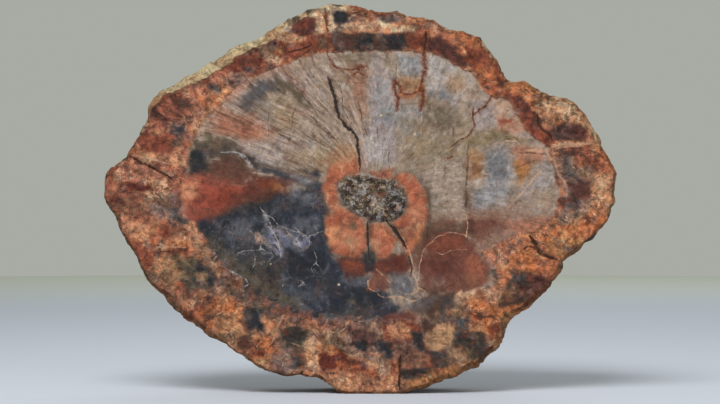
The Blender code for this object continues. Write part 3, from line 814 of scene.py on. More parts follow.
def paint(x, z):
    """Stain colour (sRGB) and the weight of the heartwood at each point."""
    shift_x = 2.2 * fractal(x, z, 14, 11) + 0.8 * fractal(x, z, 4, 21, 2)
    shift_z = 2.2 * fractal(x, z, 14, 31) + 0.8 * fractal(x, z, 4, 41, 2)
    flow_x, flow_z = x + shift_x, z + shift_z
    ragged = fractal(x, z, 3.2, 51, 3)

    def lay_bent(color, stains, bend):
        """Lays stains whose outlines follow the flow by the share bend."""
        keep = 1 - bend
        lay(color, flow_x * bend + x * keep, flow_z * bend + z * keep, stains, ragged)

    # rim: flowing mottled browns
    wide = fractal(flow_x, flow_z, 9, 61, 4, 0.6)
    small = fractal(flow_x, flow_z, 6, 71, 4, 0.6)
    color = np.tile(srgb("terracotta"), (len(x), 1))
    blend(color, "salmon", 0.8 * smoothstep(-0.2, 0.5, wide))
    blend(color, "brick", 0.8 * smoothstep(0.1, -0.6, wide))
    blend(color, "orange", 0.4 * smoothstep(0.0, 0.6, small))
    blend(color, "cream", 0.6 * smoothstep(0.35, 0.8, small + 0.3 * wide))
    blend(color, "umber", 0.7 * smoothstep(-0.3, -0.75, small + 0.2 * wide))
    lay_bent(color, RIM_STAINS, 0.35)

    # heartwood: its edge is softer near the foot
    depth = distance_inside(x + 0.5 * shift_x, z + 0.5 * shift_z, HEARTWOOD)
    blurred = smoothstep(100, 60, z)
    edge = 1.2 + 2.0 * blurred
    heart = smoothstep(-edge, edge, depth + (0.8 + 1.6 * blurred) * ragged)
    inner = np.tile(srgb("warm_grey"), (len(x), 1))
    blend(inner, "beige", 0.6 * smoothstep(-0.2, 0.5, fractal(flow_x, flow_z, 12, 81, 3)))
    blend(inner, "olive", 0.35 * smoothstep(0.1, 0.7, fractal(flow_x, flow_z, 10, 91, 3)))
    blend(inner, "blue_grey", 0.35 * smoothstep(0.1, 0.7, fractal(flow_x, flow_z, 11, 101, 3)))
    lay_bent(inner, HEART_STAINS, 0.5)
    color += (inner - color) * heart[:, None]

    # ring, with a dark halo round it, and pith
    inside = depth_in_ring(x, z) + 0.8 * ragged
    blend(color, "moss", 0.55 * smoothstep(-3.2, -0.4, inside) * smoothstep(0.5, -0.4, inside))
    lay_bent(color, RING_STAINS, 0.25)
    return color, heart


def bark_paint(color, x, z, along, depth):
    """The crust on the edge: dusty ochre and cream above, rust and dark brown below. The cream above is
    partly painted light from above, the apricot below is painted light on the underside, and the pale band
    at the upper left is painted light from above.
    """
    up = (z - PITH[1]) / PITH[1]
    crust = fractal(along, depth, 11, 521, 4)
    streak = value_noise(along / 2.2, depth / 22, 531)
    upper_left = smoothstep(-30, -60, x) * smoothstep(150, 180, z)
    blend(color, "ochre", 0.45)
    blend(color, "olive", 0.5 * smoothstep(0.0, 0.6, crust))
    # paler towards the top: the crust's own cream, partly painted light from above
    blend(color, "ivory", 0.55 * smoothstep(-0.1, 0.7, crust + 0.5 * streak) * smoothstep(-0.3, 0.7, up))
    blend(color, "rust", 0.55 * smoothstep(0.0, 0.7, -crust + 0.4 * streak))
    blend(color, "soot", 0.6 * smoothstep(0.35, 0.9, -streak + 0.5 * crust))
    # apricot on the lower edge: painted light on the underside
    blend(color, "apricot", 0.45 * smoothstep(-0.2, -0.7, up) * smoothstep(-0.3, 0.5, crust - 0.3 * streak))
    # a pale cream band on the upper left edge: painted light from above
    blend(color, "painted_light_cream", upper_left * (0.8 + 0.2 * crust))


def edge_paint(wall, along, depth):
    """Colours of the edge: the face's stains run on along the grain, under the bark's own crust and the
    light painted on it above and below.
    """
    x, z = wall[:, 0], wall[:, 2]
    out_x, out_z = x - PITH[0], z - PITH[1]
    drift = 4 * value_noise(along / 8, depth / 16, 501)
    pull = 1 - (3.0 + drift) / np.hypot(out_x, out_z)
    color, _ = paint(PITH[0] + out_x * pull + drift, PITH[1] + out_z * pull)
    bark_paint(color, x, z, along, depth)
    return color


# ---------------------------------------------------------------- veins and cracks


def spline(corners, step):
    """Points about step apart on a smooth open curve through the corners."""
    p = np.array([2 * np.array(corners[0]) - corners[1], *corners, 2 * np.array(corners[-1]) - corners[-2]])
    out = []
    for a, b, c, d in zip(p, p[1:], p[2:], p[3:]):
        n = max(1, round(float(np.hypot(*(c - b))) / step))
        t = (np.arange(n) / n)[:, None]
        out.append(0.5 * (2 * b + (c - a) * t + (2 * a - 5 * b + 4 * c - d) * t**2
                          + (3 * b - a - 3 * c + d) * t**3))
    return np.vstack([*out, p[-2:-1]])


def wandering(line):
    """A line's points with a slight natural wobble, and its half width at each of them."""
    _, start, end, _, *numbers = line
    path = spline(points(numbers), LINE_STEP)
    path[:, 0] += LINE_WOBBLE * fractal(path[:, 0], path[:, 1], 3.0, 201, 2)
    path[:, 1] += LINE_WOBBLE * fractal(path[:, 0], path[:, 1], 3.0, 211, 2)
    t = np.linspace(0, 1, len(path))
    taper = np.clip(np.minimum(t, 1 - t) * 8, 0.25, 1)
    return path, (start + (end - start) * t) * taper


def line_fields(x, z, lines):
    """For each kind of line, the distance to the nearest one in half widths; and the groove depth."""
    fields = {kind: np.full(x.shape, FAR) for kind in LINE_KINDS}
    groove = np.zeros(x.shape)
    for (kind, _, _, depth, *_), (path, width) in lines:
        lo, hi = path.min(0) - 5, path.max(0) + 5
        near = np.flatnonzero((x > lo[0]) & (x < hi[0]) & (z > lo[1]) & (z < hi[1]))
        px, pz = x[near], z[near]
        best = np.full(px.shape, FAR)
        for (ax, az), (bx, bz), wa, wb in zip(path, path[1:], width, width[1:]):
            ex, ez = bx - ax, bz - az
            t = np.clip(((px - ax) * ex + (pz - az) * ez) / (ex * ex + ez * ez), 0, 1)
            best = np.minimum(best, np.hypot(px - ax - t * ex, pz - az - t * ez) / (wa + (wb - wa) * t))
        dip = depth * np.clip(1.3 - best, 0, 1)
        fields[kind][near] = np.minimum(fields[kind][near], best)
        groove[near] = np.where(np.abs(dip) > np.abs(groove[near]), dip, groove[near])
    return fields, groove


# ---------------------------------------------------------------- shape


class Edge:
    """The CAD solid's edge: its distance from the pith, by row of depth and by angle."""

    def __init__(self, cad):
        corners = [v.co.copy() for v in cad.data.vertices]
        self.tree = BVHTree.FromPolygons(corners, [tuple(p.vertices) for p in cad.data.polygons])
        self.front = min(v.y for v in corners) / MM
        self.thick = max(v.y for v in corners) / MM - self.front

        # angles that are evenly spaced along the edge
        fine = np.linspace(-0.5 * math.pi, 1.5 * math.pi, 4001)
        r = np.array([self.radius(a, self.thick * 0.4) for a in fine])
        steps = np.hypot(np.diff(r * np.cos(fine)), np.diff(r * np.sin(fine)))
        walked = np.concatenate([[0], np.cumsum(steps)])
        self.length = walked[-1]
        self.along = np.arange(COLUMNS) / COLUMNS * self.length
        self.angles = np.interp(self.along, walked, fine)

        # rows stand closer together near both sawn faces
        t = np.linspace(0, 1, EDGE_ROWS)
        self.depth = np.sort(self.thick * (t + 0.6 * t * (1 - t) * (2 * t - 1)))
        just_inside = np.clip(self.depth, 0.02, self.thick - 0.02)
        self.radii = np.array([[self.radius(a, d) for a in self.angles] for d in just_inside])

    def radius(self, angle, depth):
        centre = Vector((PITH[0], self.front + depth, PITH[1])) * MM
        hit = self.tree.ray_cast(centre, Vector((math.cos(angle), 0, math.sin(angle))))[0]
        return (hit - centre).length / MM


def bark_relief(along, depth):
    """How far the bark stands out from the CAD solid's edge, along is the way round it in mm."""
    flutes = value_noise(along / 6.5, depth / 55, 301) + 0.5 * value_noise(along / 3.1, depth / 30, 302)
    lumps = fractal(along, depth, 8, 303, 3)
    grit = fractal(along, depth, 1.9, 306, 2)
    split = 1 - np.abs(value_noise(along / 9 + 0.35 * lumps, depth / 26, 309))
    relief = 0.55 * flutes + 0.75 * lumps + 0.38 * grit - 1.5 * smoothstep(0.86, 1.0, split) + 0.5
    cross = 1 - np.abs(value_noise(along / 24, depth / 7 + 0.6 * lumps, 311))
    return relief - 0.9 * smoothstep(0.9, 1.0, cross)


def edge_rows(edge):
    """The stone's edge as rows of points, from the polished face to the back."""
    along, depth = np.meshgrid(edge.along, edge.depth)
    ends = smoothstep(0, 12, along) * smoothstep(0, 12, edge.length - along)
    relief = bark_relief(along, depth) * ends
    nearest = np.minimum(depth, edge.thick - depth)
    relief -= 0.75 * np.clip(1 - nearest / 1.1, 0, 1) ** 2
    x = PITH[0] + (edge.radii + relief) * np.cos(edge.angles)
    z = PITH[1] + (edge.radii + relief) * np.sin(edge.angles)
    # the flat foot is the CAD solid's own
    cad_x = PITH[0] + edge.radii * np.cos(edge.angles)
    cad_z = PITH[1] + edge.radii * np.sin(edge.angles)
    foot = smoothstep(4.0, 0.3, cad_z)
    x = x * (1 - foot) + cad_x * foot
    z = np.maximum(z * (1 - foot) + cad_z * foot, 0.0)
    lumps = 0.25 * fractal(along, depth, 5, 321, 2) * np.clip(nearest / 2, 0, 1)
    return np.stack([x, edge.front + depth + lumps, z], -1)


def face_mesh(ring, grid, lines, seed):
    """Points and triangles that fill a ring of points, with an edge along every line.

    It also says which of the points stands for each point of the ring.
    """
    rng = np.random.default_rng(seed)
    low, high = ring.min(0), ring.max(0)
    rows = np.arange(low[1] + grid, high[1], grid * math.sqrt(3) / 2)
    x, z = np.meshgrid(np.arange(low[0], high[0], grid), rows)
    x = x + (np.arange(len(rows)) % 2)[:, None] * grid / 2
    filling = np.stack([x.ravel(), z.ravel()], 1) + rng.uniform(-JITTER, JITTER, (x.size, 2)) * grid
    ring_x, ring_z = (ring - PITH).T
    angle = np.arctan2(ring_z, ring_x)
    order = np.argsort(angle)

    def inside(places, gap):
        """Which places lie further than gap inside the ring."""
        out_x, out_z = (places - PITH).T
        reach = np.interp(np.arctan2(out_z, out_x), angle[order], np.hypot(ring_x, ring_z)[order],
                          period=2 * math.pi)
        return np.hypot(out_x, out_z) < reach - gap

    filling = filling[inside(filling, EDGE_GAP * grid)]
    verts = ring.tolist()
    edges = []
    clear = np.ones(len(filling), bool)
    for _, (path, _) in lines:
        kept = np.flatnonzero(inside(path, LINE_END_GAP))
        edges += [(len(verts) + i, len(verts) + i + 1) for i in np.flatnonzero(np.diff(kept) == 1).tolist()]
        verts += path[kept].tolist()
        # no point of the grid stays too close to the line's own
        low, high = path.min(0) - grid, path.max(0) + grid
        near = np.flatnonzero(((filling > low) & (filling < high)).all(1))
        away = np.hypot(*(path[kept] - filling[near, None]).transpose(2, 0, 1)).min(1)
        clear[near[away < LINE_GAP * grid]] = False
    verts += filling[clear].tolist()
    out, _, faces, came_from, _, _ = delaunay_2d_cdt(
        [Vector(v) for v in verts], edges, [list(range(len(ring)))], 1, 1e-5)
    ring_at = {s: i for i, sources in enumerate(came_from) for s in sources if s < len(ring)}
    return np.array([tuple(v) for v in out]), [tuple(f) for f in faces], ring_at


def pits(x, z, rim):
    """Depth of the small open pores and chips, mostly in the rim."""
    wide = fractal(x, z, 3.4, 401, 3)
    pores = smoothstep(0.45, 0.95, wide) * smoothstep(-0.3, 0.5, fractal(x, z, 9.0, 411, 2))
    flakes = 1 - np.abs(fractal(x + 2 * wide, z - 2 * wide, 9.0, 426, 3))
    chips = 0.55 * fractal(x, z, 6.5, 421, 4) + 0.9 * smoothstep(0.72, 1.0, flakes) + 0.35
    return rim * (0.6 * pores + 1.1 * np.clip(chips, 0, 2)) + 0.03 * fractal(x, z, 16, 431, 2)


def face_relief(x, z, heart, groove):
    """How far the polished face lies below its plane."""
    rough = 0.9 + 1.1 * fractal(x, z, 4.5, 441, 3) + 0.5 * fractal(x, z, 2.2, 451, 2)
    return groove + pits(x, z, 1 - heart) + in_pith(x, z) * np.clip(rough, -0.1, 2.6)


def back_relief(x, z, heart):
    """How far the back lies below its plane: saw marks, a rougher rim and the pocket at the pith."""
    saw = 0.05 * np.sin(np.hypot(x + 420, z - 60) / 1.9 + 1.5 * fractal(x, z, 40, 461, 2))
    saw += 0.12 * fractal(x, z, 5, 471, 3) * (1 - heart)
    return saw + in_pith(x, z) * np.clip(0.8 + fractal(x, z, 5, 481, 3), 0, 2)


def ray_space(x, z):
    """Coordinates for the rays: out from the pith, leaning over to the left in the upper left."""
    out_x, out_z = x - PITH[0], z - PITH[1]
    r = np.hypot(out_x, out_z)
    angle = np.arctan2(out_z, out_x)
    lean = 0.25 * smoothstep(20, 90, r) * smoothstep(1.35, 1.9, angle) * smoothstep(2.9, 2.3, angle)
    angle = angle - lean + 0.04 * fractal(x, z, 30, 511, 2)
    return np.stack([np.cos(angle), np.sin(angle), r], 1) * RAY_LENGTHS


def stone_mesh(cad):
    """The whole stone as one closed mesh, with its paint and its veins as attributes."""
    edge = Edge(cad)
    rows = edge_rows(edge)
    lines = [(line, wandering(line)) for line in LINES]
    face, face_tris, face_ring = face_mesh(rows[0][:, [0, 2]], FACE_GRID, lines, 5)
    back, back_tris, back_ring = face_mesh(rows[-1][:, [0, 2]], BACK_GRID, [], 6)
    wall = rows[1:-1].reshape(-1, 3)
    x, z = face.T
    back_x, back_z = back.T
    fields, groove = line_fields(x, z, lines)
    color, heart = paint(x, z)
    back_color, back_heart = paint(back_x, back_z)

    # points: polished face, back, then the rows of the edge between their first and last ones
    sunk = face_relief(x, z, heart, groove)
    sunk[list(face_ring.values())] = 0
    back_sunk = back_relief(back_x, back_z, back_heart)
    back_sunk[list(back_ring.values())] = 0
    verts = np.vstack([
        np.stack([x, edge.front + sunk, z], 1),
        np.stack([back_x, edge.front + edge.thick - back_sunk, back_z], 1),
        wall,
    ])

    def index(row, column):
        column %= COLUMNS
        if row == 0:
            return face_ring[column]
        if row == EDGE_ROWS - 1:
            return len(face) + back_ring[column]
        return len(face) + len(back) + (row - 1) * COLUMNS + column

    faces = face_tris + [tuple(len(face) + i for i in reversed(f)) for f in back_tris]
    for r in range(EDGE_ROWS - 1):
        for c in range(COLUMNS):
            faces.append((index(r, c), index(r + 1, c), index(r + 1, c + 1), index(r, c + 1)))
    data = bpy.data.meshes.new(STONE)
    data.from_pydata((verts * MM).tolist(), [], faces)
    data.update()

    # the back is paler and greyer than the polished face
    back_color = (0.75 * back_color + 0.25 * back_color.mean(1, keepdims=True)) * 0.92 + 0.05
    edge_color = edge_paint(wall, np.tile(edge.along, EDGE_ROWS - 2), wall[:, 1] - edge.front)

    def attribute(name, face_values, back_values=0.0, edge_values=0.0, kind="FLOAT", field="value"):
        """Stores values for the face, the back and the edge, each an array or one for all points."""
        parts = zip((face_values, back_values, edge_values), (face, back, wall))
        spread = [np.broadcast_to(v, (len(part),) + np.shape(v)[1:]) for v, part in parts]
        values = np.concatenate(spread).astype(np.float32)
        data.attributes.new(name, kind, "POINT").data.foreach_set(field, values.ravel())

    def opaque(rgb):
        return np.concatenate([linear(rgb), np.ones((len(rgb), 1))], 1)

    attribute("stain", opaque(color), opaque(back_color), opaque(edge_color), "FLOAT_COLOR", "color")
    attribute("heart", heart, back_heart)
    attribute("pale", heart * clear_grey(color), back_heart * clear_grey(back_color))
    attribute("warm", heart * (1 - in_ring(x, z)) * redness(color), back_heart * 0.5)
    attribute("light", lightness(color), lightness(back_color), lightness(edge_color))
    attribute("polish", 1.0 - 0.35 * (1 - heart) - 0.5 * in_pith(x, z), 0.15)
    calm = smoothstep(-1, 1, distance_inside(x, z, OVAL))
    attribute("rim", (1 - heart) * (1 - 0.8 * calm), 1 - back_heart)
    attribute("fan", heart * in_fan(x, z), 0.4 * back_heart)
    for name, weight in (("pith", in_pith), ("ring", in_ring), ("night", in_night)):
        attribute(name, weight(x, z), weight(back_x, back_z))
    for kind, values in fields.items():
        attribute(kind, values, FAR, FAR)
    glint = np.min([np.hypot(x - gx, z - gz) / r for gx, gz, r in GLINTS], 0)
    attribute("glint", np.minimum(glint, FAR), FAR, FAR)
    rays = [ray_space(part[:, 0], part[:, -1]) for part in (face, back, wall)]
    attribute("rays", *rays, "FLOAT_VECTOR", "vector")
    return data


# ---------------------------------------------------------------- material


class Nodes:
    """Short names for adding shader nodes and linking them."""

    def __init__(self, tree):
        self.tree = tree

    def add(self, kind, inputs=(), **settings):
        node = self.tree.nodes.new(kind)
        for key, value in settings.items():
            setattr(node, key, value)
        for name, value in dict(inputs).items():
            socket = node.inputs[name]
            if isinstance(value, bpy.types.NodeSocket):
                self.tree.links.new(value, socket)
            else:
                socket.default_value = value
        return node

    def attribute(self, name, output="Fac"):
        return self.add("ShaderNodeAttribute", attribute_name=name).outputs[output]

    def math(self, operation, a, b=0.0, c=0.0, clamp=False):
        node = self.add("ShaderNodeMath", {0: a, 1: b, 2: c}, operation=operation, use_clamp=clamp)
        return node.outputs[0]

    def noise(self, vector, scale, detail=3.0, rough=0.55):
        inputs = {"Vector": vector, "Scale": scale, "Detail": detail, "Roughness": rough}
        return self.add("ShaderNodeTexNoise", inputs).outputs["Fac"]

    def band(self, value, low, high, to_low=0.0, to_high=1.0):
        """value between low and high, smoothly taken to the range from to_low to to_high."""
        node = self.add("ShaderNodeMapRange", {
            "Value": value, "From Min": low, "From Max": high, "To Min": to_low, "To Max": to_high,
        }, interpolation_type="SMOOTHSTEP")
        return node.outputs["Result"]

    def ridge(self, vector, scale, width):
        """1 along the winding lines where a noise crosses its middle, down to 0 at width."""
        away = self.math("SUBTRACT", self.noise(vector, scale, 4, 0.6), 0.5)
        return self.band(self.math("ABSOLUTE", away), width, 0.0)

    def mix(self, weight, a, b, blend="MIX"):
        inputs = {0: weight, 6: a, 7: b}
        return self.add("ShaderNodeMix", inputs, data_type="RGBA", blend_type=blend).outputs[2]

    def over(self, color, name, *weights):
        """The colour with another one laid over it, as strongly as all the weights together."""
        weight = weights[0]
        for other in weights[1:]:
            weight = self.math("MULTIPLY", weight, other)
        return self.mix(weight, color, (*linear(srgb(name)), 1.0))

    def vector(self, operation, a, b):
        return self.add("ShaderNodeVectorMath", {0: a, 1: b}, operation=operation).outputs[0]

    def scaled(self, vector, x, y, z):
        return self.vector("MULTIPLY", vector, (x, y, z))

    def warped(self, vector, scale, amount):
        """The vector, pushed about by a noise."""
        noise = self.add("ShaderNodeTexNoise", {"Vector": vector, "Scale": scale, "Detail": 2.0})
        push = self.vector("SUBTRACT", noise.outputs["Color"], (0.5, 0.5, 0.5))
        return self.vector("ADD", vector, self.scaled(push, amount, amount, amount))


class Patterns:
    """The coordinates and noises that several parts of the stone share."""

    def __init__(self, n):
        self.place = n.scaled(n.add("ShaderNodeTexCoord").outputs["Object"], 1000, 1000, 1000)  # in mm
        self.swirl = n.warped(self.place, 0.09, 10.0)
        self.curl = n.warped(self.swirl, 0.33, 3.2)
        self.rays = n.attribute("rays", "Vector")
        self.streaks = n.noise(self.rays, 1.0, 6, 0.7)
        self.cloud = n.noise(self.swirl, 0.1, 5, 0.62)
        self.frost = n.noise(self.curl, 0.13, 6, 0.66)
        self.red = n.noise(n.warped(self.place, 0.14, 8.0), 0.17, 5, 0.58)
        self.patches = n.band(n.noise(self.place, 0.08, 3), 0.42, 0.56)
        self.speck = n.noise(self.place, 0.9, 5, 0.7)
        self.light = n.attribute("light")


def rim_color(n, p, color):
    """Mottles, then winding threads, pale and dark."""
    rim = n.attribute("rim")
    grainy = n.warped(n.warped(n.scaled(p.rays, 0.8, 0.8, 4.5), 0.4, 1.8), 1.1, 0.5)
    mottle = n.noise(grainy, 0.62, 5, 0.6)
    color = n.over(color, "apricot", rim, p.light, n.band(mottle, 0.52, 0.63, 0, 0.58))
    color = n.over(color, "sepia", rim, n.band(mottle, 0.46, 0.36, 0, 0.6))
    axes = n.add("ShaderNodeSeparateXYZ", {0: p.place})
    # less orange at the upper left, where Z is far above X
    orange_there = n.band(n.math("SUBTRACT", axes.outputs[2], axes.outputs[0]), 255, 195, 0.35, 1.0)
    color = n.over(color, "rust", rim, n.band(p.red, 0.54, 0.64, 0, 0.45))
    color = n.over(color, "orange", rim, p.light, orange_there, n.band(p.red, 0.48, 0.38, 0, 0.55))
    grey = n.noise(p.place, 0.1, 5, 0.62)
    color = n.over(color, "mauve", rim, n.band(grey, 0.54, 0.66, 0, 0.55))
    color = n.over(color, "tan", rim, p.light, n.band(grey, 0.46, 0.34, 0, 0.55))
    color = n.over(color, "soot", rim, n.ridge(grainy, 0.4, 0.018), p.patches, 0.65)
    threads = n.ridge(n.scaled(grainy, 1, 1, 0.8), 0.5, 0.018)
    elsewhere = n.band(n.noise(p.place, 0.09, 3), 0.56, 0.44)
    return n.over(color, "ivory", rim, p.light, threads, elsewhere, 0.55)


def pale_color(n, p, color):
    """Pale heartwood: soft clouds, the rays, and fibres."""
    pale, fan = n.attribute("pale"), n.attribute("fan")
    color = n.over(color, "bone", pale, n.band(p.cloud, 0.5, 0.68, 0, 0.34))
    color = n.over(color, "olive", pale, n.band(p.cloud, 0.47, 0.32, 0, 0.3))
    hollow = n.noise(p.swirl, 0.17, 5, 0.66)
    color = n.over(color, "brown", pale, n.band(hollow, 0.44, 0.34, 0, 0.5))
    fine_rays = n.noise(n.scaled(p.rays, 2.3, 2.3, 3.0), 1.0, 4, 0.65)
    color = n.over(color, "brown", fan, n.band(p.streaks, 0.5, 0.34, 0, 0.75))
    color = n.over(color, "umber", fan, n.band(fine_rays, 0.45, 0.3, 0, 0.8))
    color = n.over(color, "bone", fan, pale, n.band(p.streaks, 0.53, 0.68, 0, 0.7))
    color = n.over(color, "bone", fan, pale, n.band(fine_rays, 0.55, 0.68, 0, 0.6))
    fibre = n.noise(n.warped(n.scaled(p.rays, 0.9, 0.9, 4.0), 0.5, 1.5), 1.0, 5, 0.65)
    color = n.over(color, "frost", pale, p.light, n.band(fibre, 0.54, 0.64, 0, 0.42))
    return n.over(color, "moss", pale, n.band(fibre, 0.44, 0.35, 0, 0.5))


def dark_and_red_color(n, p, color):
    """Dark heartwood: blue-grey clouds and frosty threads. Red heartwood: darker and paler reds."""
    night, warm = n.attribute("night"), n.attribute("warm")
    color = n.over(color, "slate", night, n.band(p.frost, 0.52, 0.66, 0, 0.75))
    color = n.over(color, "ink", night, n.band(p.frost, 0.48, 0.38, 0, 0.8))
    color = n.over(color, "lilac", night, n.ridge(p.swirl, 0.06, 0.009), p.patches, 0.4)
    color = n.over(color, "brown", night, n.band(p.cloud, 0.46, 0.36, 0, 0.2))
    color = n.over(color, "maroon", warm, n.band(p.cloud, 0.49, 0.36, 0, 0.6))
    color = n.over(color, "salmon", warm, p.light, n.band(p.frost, 0.52, 0.64, 0, 0.5))
    return n.over(color, "umber", warm, n.band(p.streaks, 0.46, 0.34, 0, 0.5))


def ring_and_pith_color(n, p, color):
    """Mottles in the ring, and the pith's winding crystals and holes."""
    ring, pith = n.attribute("ring"), n.attribute("pith")
    color = n.over(color, "cream", ring, n.band(p.frost, 0.53, 0.64, 0, 0.4))
    color = n.over(color, "rust", ring, n.band(p.frost, 0.45, 0.35, 0, 0.6))
    color = n.over(color, "brown", ring, n.band(p.cloud, 0.48, 0.36, 0, 0.55))
    color = n.over(color, "apricot", ring, n.band(p.streaks, 0.54, 0.66, 0, 0.45))
    worms = n.noise(n.warped(p.place, 0.25, 5.0), 0.22, 5, 0.6)
    color = n.over(color, "frost", pith, n.band(worms, 0.49, 0.6, 0, 0.75))
    color = n.over(color, "umber", pith, n.band(worms, 0.47, 0.39, 0, 0.8))
    color = n.over(color, "ivory", pith, n.ridge(n.warped(p.place, 0.25, 4.0), 0.2, 0.03), 0.55)
    color = n.over(color, "terracotta", pith, n.band(p.red, 0.55, 0.64, 0, 0.5))
    return n.over(color, "soot", pith, n.ridge(n.warped(p.place, 0.2, 6.0), 0.17, 0.05), 0.85)


def grain(n, p, color):
    """Fine light and dark grain everywhere, coarser in the rim."""
    fine = n.band(p.speck, 0.28, 0.72, 0.84, 1.16)
    coarse = n.band(n.noise(p.curl, 0.3, 5, 0.62), 0.34, 0.66, -0.42, 0.42)
    outside = n.math("SUBTRACT", 1.0, n.attribute("heart"))
    coarse = n.math("MULTIPLY", coarse, n.math("MULTIPLY_ADD", outside, 0.5, 0.5))
    value = n.math("MULTIPLY", fine, n.math("ADD", coarse, 1.0))
    shade = n.add("ShaderNodeCombineColor", {"Red": value, "Green": value, "Blue": value}).outputs[0]
    return n.mix(1.0, color, shade, "MULTIPLY")


def vein_color(n, p, color):
    """Veins and cracks, their edges frayed by the grain. Also returns where the cracks are."""
    fray = n.band(n.noise(p.place, 0.6, 4, 0.68), 0.3, 0.7, -0.7, 0.7)
    wear = n.noise(p.place, 0.35, 4, 0.65)

    def line(kind, soft, reach=1.0):
        return n.band(n.math("ADD", n.attribute(kind), fray), reach + soft, reach - soft)

    spread_out = n.band(n.noise(p.place, 0.45, 4, 0.7), 0.35, 0.65, -0.9, 0.9)
    bled = n.math("ADD", n.attribute("rust"), spread_out)
    color = n.over(color, "brown", n.band(bled, 3.2, 1.0), 0.5)
    color = n.over(color, "rust", n.band(bled, 1.6, 0.4), n.band(wear, 0.3, 0.6, 0.4, 0.9))
    color = n.over(color, "sepia", n.band(bled, 0.9, -0.1), n.band(wear, 0.6, 0.42, 0.3, 0.9))
    color = n.over(color, "cream", line("vein", 0.7, 0.9), n.band(wear, 0.36, 0.6, 0.15, 0.8))
    color = n.over(color, "frost", line("needle", 0.8, 0.9), n.band(wear, 0.38, 0.6, 0.1, 0.75))
    color = n.over(color, "umber", line("hair", 0.8), n.band(wear, 0.62, 0.4, 0.35, 0.85))
    crack = line("crack", 0.35)
    color = n.over(color, "umber", line("crack", 1.0, 1.6), 0.6)
    color = n.over(color, "sepia", crack, n.band(wear, 0.62, 0.42, 0.5, 1.0))
    color = n.over(color, "soot", crack, n.attribute("heart"), 0.9)
    return n.over(color, "ivory", n.band(n.attribute("glint"), 1.2, 0.5), 0.8), crack


def stone_material():
    material = bpy.data.materials.new(STONE)
    material.use_nodes = True
    material.node_tree.nodes.clear()
    n = Nodes(material.node_tree)
    p = Patterns(n)
    color = n.attribute("stain", "Color")
    for part in (rim_color, pale_color, dark_and_red_color, ring_and_pith_color, grain):
        color = part(n, p, color)
    color, crack = vein_color(n, p, color)
    color = n.add("ShaderNodeGamma", {"Color": color, "Gamma": GAMMA}).outputs[0]

    # roughness: polished heartwood, duller rim, raw bark
    polish = n.attribute("polish")
    rough = n.math("ADD", n.band(polish, 0.0, 1.0, 0.86, 0.33), n.band(p.speck, 0.3, 0.7, -0.05, 0.08))
    rough = n.math("ADD", rough, n.math("MULTIPLY", crack, 0.4), clamp=True)

    fine = n.noise(p.place, 1.1, 5, 0.65)
    height = n.math("ADD", fine, n.math("MULTIPLY", n.noise(p.curl, 0.35, 5, 0.65), 1.6))
    height = n.math("MULTIPLY", height, n.band(polish, 0.35, 1.0, 1.0, 0.06))
    bump = n.add("ShaderNodeBump", {"Height": height, "Distance": BUMP_HEIGHT, "Strength": 0.9})
    shader = n.add("ShaderNodeBsdfPrincipled", {
        "Base Color": color, "Roughness": rough, "Normal": bump.outputs["Normal"],
        "Specular IOR Level": 0.3,
    })
    n.add("ShaderNodeOutputMaterial", {"Surface": shader.outputs[0]}, is_active_output=True)
    return material


# ---------------------------------------------------------------- studio


def add_floor():
    """A round pale floor that fades into the wall's colour, painted paler towards its rim as light where the
    lamps reach less.
    """
    bpy.ops.mesh.primitive_circle_add(vertices=128, radius=FLOOR_RADIUS, fill_type="NGON")
    floor = bpy.context.object
    floor.name = "floor"
    material = bpy.data.materials.new("floor")
    material.use_nodes = True
    n = Nodes(material.node_tree)
    shader = material.node_tree.nodes["Principled BSDF"]
    place = n.add("ShaderNodeTexCoord").outputs["Object"]
    away = n.add("ShaderNodeVectorMath", {0: place}, operation="LENGTH").outputs["Value"]
    color = n.mix(n.band(away, 0.9, FLOOR_RADIUS), (*FLOOR_COLOR, 1), (*FLOOR_RIM, 1))
    material.node_tree.links.new(color, shader.inputs["Base Color"])
    shader.inputs["Roughness"].default_value = 0.9
    floor.data.materials.append(material)


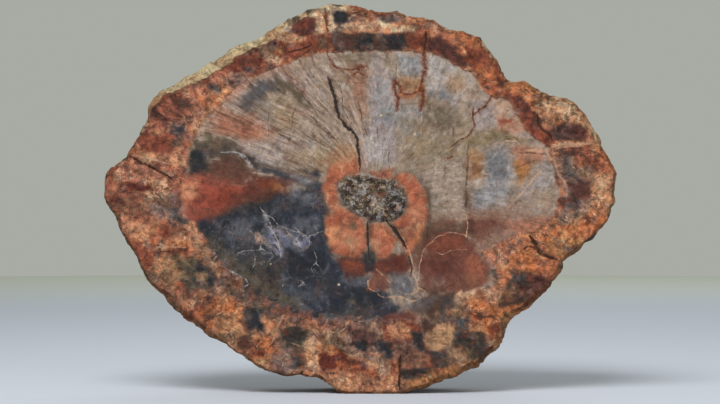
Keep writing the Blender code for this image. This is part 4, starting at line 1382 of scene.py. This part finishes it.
def add_light():
    """The wall's even light, and soft lamps."""
    world = bpy.data.worlds.new("studio")
    world.use_nodes = True
    background = world.node_tree.nodes["Background"]
    background.inputs["Color"].default_value = (*WALL_COLOR, 1)
    background.inputs["Strength"].default_value = 1.0
    bpy.context.scene.world = world
    for name, (place, size, power, spread, tint) in LAMPS.items():
        light = bpy.data.lights.new(name, "AREA")
        light.shape = "RECTANGLE"
        light.size, light.size_y = size
        light.energy = power
        light.color = tint
        light.spread = math.radians(spread)
        lamp = bpy.data.objects.new(name, light)
        lamp.location = place
        lamp.rotation_euler = (LAMP_AIM - Vector(place)).to_track_quat("-Z", "Y").to_euler()
        bpy.context.scene.collection.objects.link(lamp)


def add_camera():
    """A level camera straight in front of the polished face."""
    data = bpy.data.cameras.new("camera")
    data.sensor_width = SENSOR_WIDTH
    data.lens = SENSOR_WIDTH * CAMERA_AWAY / VIEW_WIDTH
    data.clip_start = 0.05
    camera = bpy.data.objects.new("camera", data)
    camera.location = (0.0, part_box(NODE)[0][1] - CAMERA_AWAY, CAMERA_HEIGHT)
    camera.rotation_euler = (math.pi / 2, 0, 0)
    bpy.context.scene.collection.objects.link(camera)
    bpy.context.scene.camera = camera
    bpy.context.scene.view_settings.view_transform = "Standard"


def add_stone(cad):
    stone = bpy.data.objects.new(STONE, stone_mesh(cad))
    bpy.context.scene.collection.objects.link(stone)
    stone.data.materials.append(stone_material())
    stone.data.shade_smooth()
    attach(stone, "root")
    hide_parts(NODE)


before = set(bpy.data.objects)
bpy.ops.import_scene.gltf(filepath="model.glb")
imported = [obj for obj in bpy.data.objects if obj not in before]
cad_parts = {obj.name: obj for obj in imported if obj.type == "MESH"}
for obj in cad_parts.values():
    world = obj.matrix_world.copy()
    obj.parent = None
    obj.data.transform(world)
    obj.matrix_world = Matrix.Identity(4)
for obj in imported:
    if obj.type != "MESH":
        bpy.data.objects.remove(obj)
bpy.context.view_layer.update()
add_stone(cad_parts[NODE])
add_floor()
add_light()
add_camera()
